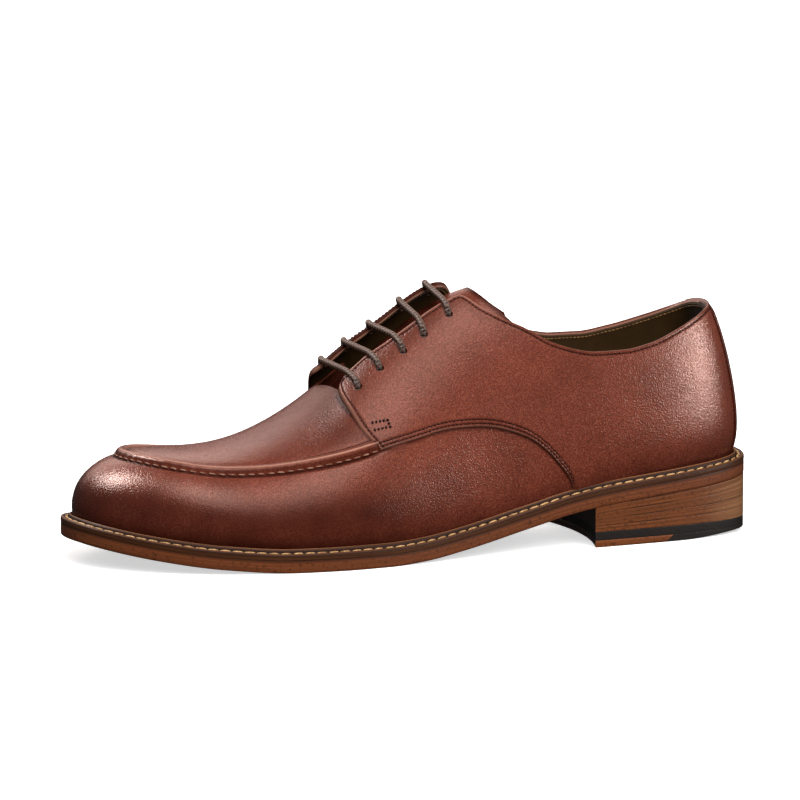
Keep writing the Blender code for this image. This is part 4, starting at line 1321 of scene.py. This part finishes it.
def stitch_tree(material):
    """Node tree that lays stitches along lines: grains of thread at an even pitch, slightly uneven."""
    name = "stitching in " + material.name
    if name in bpy.data.node_groups:
        return bpy.data.node_groups[name]
    tree = bpy.data.node_groups.new(name, "GeometryNodeTree")
    tree.is_modifier = True
    face = tree.interface
    face.new_socket("Lines", in_out="INPUT", socket_type="NodeSocketGeometry")
    for label in ("Pitch", "Stitch length", "Thread", "Slant"):
        face.new_socket(label, in_out="INPUT", socket_type="NodeSocketFloat")
    face.new_socket("Stitches", in_out="OUTPUT", socket_type="NodeSocketGeometry")
    given = add_node(tree, "NodeGroupInput")
    lines = add_node(tree, "GeometryNodeMeshToCurve", {"Mesh": given.outputs["Lines"]})
    even = add_node(tree, "GeometryNodeResampleCurve", {"Curve": lines.outputs["Curve"],
                                                        "Length": given.outputs["Pitch"]}, mode="LENGTH")
    grain = add_node(tree, "GeometryNodeMeshUVSphere", {"Segments": 7, "Rings": 6, "Radius": 0.5})
    size = add_node(tree, "ShaderNodeCombineXYZ", {"X": given.outputs["Stitch length"],
                                                   "Y": given.outputs["Thread"],
                                                   "Z": given.outputs["Thread"]})
    grain = add_node(tree, "GeometryNodeTransform",
                     {"Geometry": grain.outputs["Mesh"], "Scale": size.outputs["Vector"]})
    grain = add_node(tree, "GeometryNodeSetShadeSmooth", {"Geometry": grain.outputs["Geometry"]})
    tangent = add_node(tree, "GeometryNodeInputTangent")
    normal = add_node(tree, "GeometryNodeInputNamedAttribute", {"Name": "leather_normal"},
                      data_type="FLOAT_VECTOR")
    along = add_node(tree, "FunctionNodeAlignRotationToVector", {"Vector": tangent.outputs["Tangent"]},
                     axis="X")
    facing = add_node(tree, "FunctionNodeAlignRotationToVector", {"Rotation": along.outputs["Rotation"],
                                                                  "Vector": normal.outputs["Attribute"]},
                      axis="Z", pivot_axis="X")
    uneven = add_node(tree, "FunctionNodeRandomValue", {"Min": (0.9, 0.92, 0.92), "Max": (1.08, 1.08, 1.08),
                                                        "Seed": 7}, data_type="FLOAT_VECTOR")
    wobble = add_node(tree, "FunctionNodeRandomValue", {2: -0.06, 3: 0.06, "Seed": 11}, data_type="FLOAT")
    lean = add_node(tree, "ShaderNodeMath", {0: given.outputs["Slant"], 1: wobble.outputs[1]},
                    operation="ADD")
    lean = add_node(tree, "ShaderNodeCombineXYZ", {"Z": lean.outputs["Value"]})
    turned = add_node(tree, "FunctionNodeRotateRotation", {"Rotation": facing.outputs["Rotation"],
                                                           "Rotate By": lean.outputs["Vector"]},
                      rotation_space="LOCAL")
    laid = add_node(tree, "GeometryNodeInstanceOnPoints", {"Points": even.outputs["Curve"],
                                                           "Instance": grain.outputs["Geometry"],
                                                           "Rotation": turned.outputs["Rotation"],
                                                           "Scale": uneven.outputs["Value"]})
    plain = add_node(tree, "GeometryNodeRealizeInstances", {"Geometry": laid.outputs["Instances"]})
    worn = add_node(tree, "GeometryNodeSetMaterial", {"Geometry": plain.outputs["Geometry"],
                                                      "Material": material})
    add_node(tree, "NodeGroupOutput", {"Stitches": worn.outputs["Geometry"]})
    return tree


def stitch(name, lines, pitch, length, thick, material, slant=0.0):
    """Stitches along lines, as one plain mesh."""
    item = seam_object(name, lines)
    tree = stitch_tree(material)
    modifier = item.modifiers.new("stitches", "NODES")
    modifier.node_group = tree
    wanted = {"Pitch": pitch, "Stitch length": length, "Thread": thick, "Slant": slant}
    for socket in tree.interface.items_tree:
        if socket.in_out == "INPUT" and socket.name in wanted:
            modifier[socket.identifier] = wanted[socket.name]
    depsgraph = bpy.context.evaluated_depsgraph_get()
    mesh = bpy.data.meshes.new_from_object(item.evaluated_get(depsgraph))
    item.modifiers.clear()
    item.data = mesh
    mesh.name = name
    return item


def spots_at(wanted, distances, columns, s, up):
    """Place in each column of a grid that lies at the wanted distance from an edge."""
    wanted = np.broadcast_to(wanted, len(s))
    return np.array([[np.interp(wanted[i], distances[i], values[i]) for values in (s, up)] for i in columns])


def on_leather(side, s, up, out):
    """Line on the upper with the leather's normals, for stitching."""
    s, up, out = np.broadcast_arrays(np.asarray(s, float), np.asarray(up, float), np.asarray(out, float))
    line = last(side, s, up, out)
    ahead = last(side, s + 0.4, up, out) - last(side, s - 0.4, up, out)
    rise = last(side, s, np.clip(up + 0.004, 0, 1), out) - last(side, s, up - 0.004, out)
    normal = np.cross(rise, ahead) if side == "outer" else np.cross(ahead, rise)
    normal /= np.linalg.norm(normal, axis=-1, keepdims=True)
    return line, normal * (-1, 1, 1)


# Stage: distances in metres, angles in degrees, the lens in millimetres
LAMP_DISTANCE = 1.3
CAMERA_AZIMUTH = -20.0
CAMERA_ELEVATION = 8.9
CAMERA_DISTANCE = 2.15
CAMERA_LENS = 229.5
CAMERA_AIM = (-0.0032, 0.0158)


class SHOE_OT_stage(Operator):
    """Floor, soft lights and the camera"""
    bl_idname = "shoe.stage"
    bl_label = "Stage"

    def execute(self, context):
        # white paper sweep: matte, with a faint mottle about 25 mm across
        material, tree, shader = new_material("matte white paper", 0.9, Specular_IOR_Level=0.1)
        where = add_node(tree, "ShaderNodeTexCoord").outputs["Object"]
        pulp = add_node(tree, "ShaderNodeTexNoise", {"Vector": where, "Scale": 40.0, "Detail": 2.0})
        colour = add_node(tree, "ShaderNodeMix", {"Factor": pulp.outputs["Fac"], "A": hex_colour("#fdfdfc"),
                                                  "B": hex_colour("#fbfbfa")}, data_type="RGBA")
        tree.links.new(colour.outputs["Result"], shader.inputs["Base Color"])
        shader.inputs["Emission Color"].default_value = hex_colour("#ffffff")
        shader.inputs["Emission Strength"].default_value = 0.6
        half = 80.0
        mesh = bpy.data.meshes.new("floor")
        mesh.from_pydata([(-half, -half, 0), (half, -half, 0), (half, half, 0), (-half, half, 0)], [],
                         [(0, 1, 2, 3)])
        floor = link_object("floor", mesh, material)
        # the floor keeps the shoe's shadow but throws no light back on the leather
        floor.visible_glossy = False
        floor.visible_diffuse = False
        floor.visible_shadow = False
        world = bpy.data.worlds.new("studio")
        world.use_nodes = True
        room = world.node_tree
        way = add_node(room, "ShaderNodeTexCoord").outputs["Generated"]
        way = add_node(room, "ShaderNodeSeparateXYZ", {"Vector": way})
        glow = add_node(room, "ShaderNodeMapRange", {"Value": way.outputs["Z"], "From Min": -0.2,
                                                     "From Max": 0.4, "To Min": 0.03, "To Max": 0.13})
        room.nodes["Background"].inputs["Color"].default_value = hex_colour("#ffffff")
        room.links.new(glow.outputs["Result"], room.nodes["Background"].inputs["Strength"])
        context.scene.world = world
        context.scene.view_settings.view_transform = "Standard"
        middle = Vector((0.0, -MIDDLE / MM, 0.045))
        for name, azimuth, elevation, wide, high, power in (
                ("toe_side", -121, 49, 0.5, 0.46, 18.5), ("heel_side", 57, 14, 0.28, 0.46, 8.5),
                ("behind", 180, 32, 1.4, 0.6, 5.0)):
            light = bpy.data.lights.new(name, "AREA")
            light.shape = "RECTANGLE"
            light.size = wide
            light.size_y = high
            light.energy = power
            light.color = hex_colour("#ffe6dc" if name == "behind" else "#ffffff")[:3]
            lamp = aim_lamp(context, light, middle, azimuth, elevation)
            # the two side lamps are for the gloss alone
            lamp.visible_diffuse = name == "behind"
        for name, azimuth, elevation, power in (
                ("above", 5, 66, 1.75), ("front_fill", 0, 36, 2.3), ("back_fill", 180, 25, 1.1)):
            light = bpy.data.lights.new(name, "SUN")
            light.energy = power
            light.angle = math.radians(42.0)
            lamp = aim_lamp(context, light, middle, azimuth, elevation)
            # the fills lighten the leather without a gloss of their own
            lamp.visible_glossy = name == "above"
        add_camera(context, middle)
        return {"FINISHED"}


def polar(azimuth, elevation):
    """Direction from the shoe; azimuth 0 is the outer side."""
    a, e = math.radians(azimuth), math.radians(elevation)
    return Vector((math.sin(a) * math.cos(e), -math.cos(a) * math.cos(e), math.sin(e)))


def aim_lamp(context, light, middle, azimuth, elevation):
    """Stands a lamp at its distance from the shoe and turns it to the shoe."""
    lamp = bpy.data.objects.new(light.name, light)
    lamp.location = middle + LAMP_DISTANCE * polar(azimuth, elevation)
    lamp.rotation_euler = (middle - lamp.location).to_track_quat("-Z", "Y").to_euler()
    context.scene.collection.objects.link(lamp)
    return lamp


def add_camera(context, middle):
    """Long lens from the outer side, a little towards the toe and from above."""
    data = bpy.data.cameras.new("camera")
    data.sensor_width = 36.0
    data.lens = CAMERA_LENS
    camera = bpy.data.objects.new("camera", data)
    back = polar(CAMERA_AZIMUTH, CAMERA_ELEVATION)
    turn = math.radians(CAMERA_AZIMUTH)
    right = Vector((math.cos(turn), math.sin(turn), 0.0))
    up = back.cross(right)
    camera.location = middle + CAMERA_DISTANCE * back
    aim = middle + right * CAMERA_AIM[0] + up * CAMERA_AIM[1]
    camera.rotation_euler = (aim - camera.location).to_track_quat("-Z", "Y").to_euler()
    context.scene.collection.objects.link(camera)
    context.scene.camera = camera


class SHOE_OT_vamp(Operator):
    """Vamp and raised apron seam"""
    bl_idname = "shoe.vamp"
    bl_label = "Vamp"

    def execute(self, context):
        hand_over(add_vamp(finishes()["upper"], context.scene.shoe_sizes), "upper", "upper")
        return {"FINISHED"}


class SHOE_OT_quarters(Operator):
    """Both quarters with their facings and eyelets"""
    bl_idname = "shoe.quarters"
    bl_label = "Quarters"

    def execute(self, context):
        for side in BOTH_SIDES:
            hand_over(add_quarter(side, finishes()["upper"], context.scene.shoe_sizes), "upper", "upper")
        hand_over(add_backstay(finishes()["upper"], context.scene.shoe_sizes), "upper", "upper")
        return {"FINISHED"}


class SHOE_OT_inside(Operator):
    """Lining, insole and tongue"""
    bl_idname = "shoe.inside"
    bl_label = "Inside"

    def execute(self, context):
        for side in BOTH_SIDES:
            hand_over(add_lining(side, finishes()["lining"]), "insole", "upper")
        hand_over(add_tongue(finishes()["upper"]), "tongue", "tongue")
        sock = {"inset": (0.3, 0.0, 0.2, 0.8), "height": (0.0, 0.4, 3.2, 3.5)}
        inset = WELT_SHOWS + UPPER_WALL + 0.2
        hand_over(plate("insole_leather", sock, OUTSOLE_THICK + 0.3, inset, finishes()["insole"]), "insole",
                  "insole")
        return {"FINISHED"}


class SHOE_OT_sole(Operator):
    """Welt and outsole"""
    bl_idname = "shoe.sole"
    bl_label = "Sole"

    def execute(self, context):
        hand_over(ring("welt_leather", WELT_SECTION, OUTSOLE_THICK, finishes()["welt"]), "welt", "welt")
        hand_over(plate("outsole_leather", EDGE_SECTION, 0.0, 0.0, finishes()["sole"]), "sole", "outsole")
        return {"FINISHED"}


class SHOE_OT_heel(Operator):
    """Stacked lifts, rubber layer and the two halves of the bottom layer"""
    bl_idname = "shoe.heel"
    bl_label = "Heel"

    def execute(self, context):
        worn = finishes()
        low = TIP_THICK + RUBBER_THICK
        loop = heel_loop()

        def level(step):
            """Face between two lifts, an even part of the way up to the sole."""
            return lambda s: low + (sole_line(s) - low) * step / LIFT_COUNT

        for number in range(LIFT_COUNT):
            item = heel_layer("heel_leather_%d" % (number + 1), loop, loop, level(number), level(number + 1),
                              worn["heel"], levels=(4.0 * number, 4.0 * number + 4.0))
            hand_over(item, "heel_leather", "heel_lift_%d" % (number + 1))

        def flat(height):
            """Level face at one height."""
            return lambda s: np.full_like(np.asarray(s, float), height)

        def worn_tip(s):
            """Bottom face, worn away towards the back."""
            return TIP_BEVEL * (1 - soft_step(2.0, 40.0, s))

        item = heel_layer("heel_black_layer", loop, loop, flat(TIP_THICK), flat(low), worn["rubber"], 0.05)
        hand_over(item, "heel_rubber", "heel_rubber")
        slant = TIP_JOINT_SLANT * TIP_THICK
        item = heel_layer("heel_tip_leather", heel_loop(start=TIP_JOINT), heel_loop(start=TIP_JOINT - slant),
                          flat(0.0), flat(TIP_THICK), worn["heel"], 0.25, (0.6, 1.4))
        hand_over(item, "heel_leather", "heel_tip_front")
        item = heel_layer("heel_tip_rubber", heel_loop(end=TIP_JOINT), heel_loop(end=TIP_JOINT - slant),
                          worn_tip, flat(TIP_THICK), worn["rubber"], 0.05)
        hand_over(item, "heel_rubber", "heel_tip_back")
        return {"FINISHED"}


class SHOE_OT_laces(Operator):
    """Lace crossings through the eyelets"""
    bl_idname = "shoe.laces"
    bl_label = "Laces"

    def execute(self, context):
        thick = context.scene.shoe_sizes.lace * MM
        for number in range(len(LACE_CREST)):
            path = lace_path(number, thick)
            item = tube("lace_cord_%d" % (number + 1), path, np.full(len(path), thick / 2), 16,
                        finishes()["lace"])
            hand_over(item, "lace", "lace_bar_%d" % (number + 1))
        return {"FINISHED"}


class SHOE_OT_stitching(Operator):
    """Stitches of the welt, apron, quarters and topline"""
    bl_idname = "shoe.stitching"
    bl_label = "Stitching"

    def execute(self, context):
        sizes = context.scene.shoe_sizes
        worn = finishes()
        line = []
        for side, where in outline_stations(400):
            s, y, _, _ = edge_point(side, where, 2.4)
            line.append((float(s), float(y), float(sole_line(s)) + OUTSOLE_THICK + 2.55))
        line.append(line[0])
        up = np.tile((0.0, 0.0, 1.0), (len(line), 1))
        item = stitch("welt_stitches", [(np.array(line), up)], sizes.welt_pitch, sizes.welt_pitch * 0.97,
                      sizes.welt_thread, worn["welt_thread"], 0.12)
        hand_over(item, "welt")
        hand_over(self.apron(sizes, worn["apron"]), "upper")
        hand_over(self.seams(sizes, worn["seam"]), "upper")
        hand_over(self.tacks(sizes, worn["seam"]), "upper")
        hand_over(self.lining(sizes, worn["lining_thread"]), "insole")
        return {"FINISHED"}

    def apron(self, sizes, material):
        """Row in the apron's seam."""
        lines = []
        for side in BOTH_SIDES:
            s = vamp_stations()[::-1]
            s = s[s > CORNER[side] - 2]
            up = apron_seam(s)[..., 0] + APRON_ROW / seam_stretch(side, s)
            lines.append(on_leather(side, s, up, 0.3 * soft_step(*LIP_START, s)))
        return stitch("apron_stitches", lines, sizes.apron_pitch, sizes.apron_pitch * 0.75,
                      APRON_THREAD / MM, material, 0.1)

    def seams(self, sizes, material):
        """Rows along the edges of the quarters and the back strip."""
        thick = sizes.leather * MM
        lines = []
        for side in BOTH_SIDES:
            s, up, from_low, from_top, to_front, base = quarter_grid(side)
            for distance in SEAM_ROWS:
                columns = np.flatnonzero((base > 89.0) & (to_front[:, 0] > FRONT_ROW))
                spots = spots_at(distance, from_low, columns, s, up)
                lines.append(self.row(side, spots, thick))
            column = int(np.argmin(abs(to_front[:, 0] - FRONT_ROW)))
            rows = (from_low[column] > FRONT_ROW) & (from_top[column] > FACING_ROW)
            lines.append(self.row(side, np.c_[s[column, rows], up[column, rows]], thick))
            columns = np.flatnonzero(to_front[:, 0] > FRONT_ROW)
            spots = spots_at(-top_row(base), -from_top, columns, s, up)
            lines.append(self.row(side, spots, thick))
            foot, run = foot_of(side)
            share = np.linspace(0.02, 0.97, BACKSTAY_ROWS)
            strip = np.full(BACKSTAY_ROWS, np.interp(BACKSTAY - BACKSTAY_SEAM, run, foot))
            high = share * top_edge(side, strip)
            proud = 0.6 * (1 - soft_step(0.9, 1.0, share))
            lines.append(self.row(side, np.c_[strip, high], thick + proud))
        return stitch("seam_stitches", lines, sizes.seam_pitch, sizes.seam_pitch * 0.8, sizes.seam_thread,
                      material, 0.12)

    def tacks(self, sizes, material):
        """Short rows that hold the corners of the facings."""
        lines = []
        for side in BOTH_SIDES:
            tack = np.array([TACK["from_heel"], TACK["up"]]).T * (CORNER[side] / CORNER["outer"], 1.0)
            for start, end in zip(tack[:-1], tack[1:]):
                spots = start + np.linspace(0, 1, 12)[:, None] * (end - start)
                lines.append(self.row(side, spots, sizes.leather * MM + 0.15))
        return stitch("tack_stitches", lines, sizes.seam_pitch * 0.75, sizes.seam_pitch * 0.65,
                      sizes.seam_thread * 2.2, material, 0.5)

    def lining(self, sizes, material):
        """Row that holds the lining to the top edge."""
        lines = []
        for side in BOTH_SIDES:
            s, up, _, from_top, to_front, _ = quarter_grid(side)
            columns = np.flatnonzero(to_front[:, 0] > 2.5)
            spots = spots_at(-LINING_ROW, -from_top, columns, s, up)
            depth = raised(side, *spots.T) - heel_tuck(side, *spots.T) - 1.75
            line, normal = on_leather(side, *spots.T, depth)
            lines.append((line, -normal))
        return stitch("lining_stitches", lines, sizes.seam_pitch, sizes.seam_pitch * 0.95, sizes.seam_thread,
                      material)

    def row(self, side, spots, thick):
        """Row of stitches lying in its groove."""
        s, up = spots.T
        return on_leather(side, s, up, thick - 0.05 + raised(side, s, up) - heel_tuck(side, s, up))


class SHOE_PT_panel(Panel):
    """Lists the pieces of the shoe with their sizes and colours"""
    bl_idname = "SHOE_PT_panel"
    bl_label = "Lace-up Shoe"
    bl_space_type = "VIEW_3D"
    bl_region_type = "UI"
    bl_category = "Shoe"

    def draw(self, context):
        for operator in OPERATORS:
            self.layout.operator(operator.bl_idname)
        for group in (context.scene.shoe_sizes, context.scene.shoe_colours):
            box = self.layout.box()
            for name in group.__annotations__:
                box.prop(group, name)


OPERATORS = (SHOE_OT_stage, SHOE_OT_sole, SHOE_OT_heel, SHOE_OT_inside, SHOE_OT_vamp, SHOE_OT_quarters,
             SHOE_OT_laces, SHOE_OT_stitching)
CLASSES = (ShoeColours, ShoeSizes) + OPERATORS + (SHOE_PT_panel,)


def register():
    """Adds the classes, and the sizes and colours of the scene."""
    for item in CLASSES:
        bpy.utils.register_class(item)
    bpy.types.Scene.shoe_colours = PointerProperty(type=ShoeColours)
    bpy.types.Scene.shoe_sizes = PointerProperty(type=ShoeSizes)


def unregister():
    """Takes out what register adds."""
    del bpy.types.Scene.shoe_sizes
    del bpy.types.Scene.shoe_colours
    for item in reversed(CLASSES):
        bpy.utils.unregister_class(item)


def main():
    """Builds the stage and the shoe."""
    register()
    bpy.ops.shoe.stage()
    bpy.ops.shoe.sole()
    bpy.ops.shoe.heel()
    bpy.ops.shoe.inside()
    bpy.ops.shoe.vamp()
    bpy.ops.shoe.quarters()
    bpy.ops.shoe.laces()
    bpy.ops.shoe.stitching()


if __name__ == "__main__":
    main()
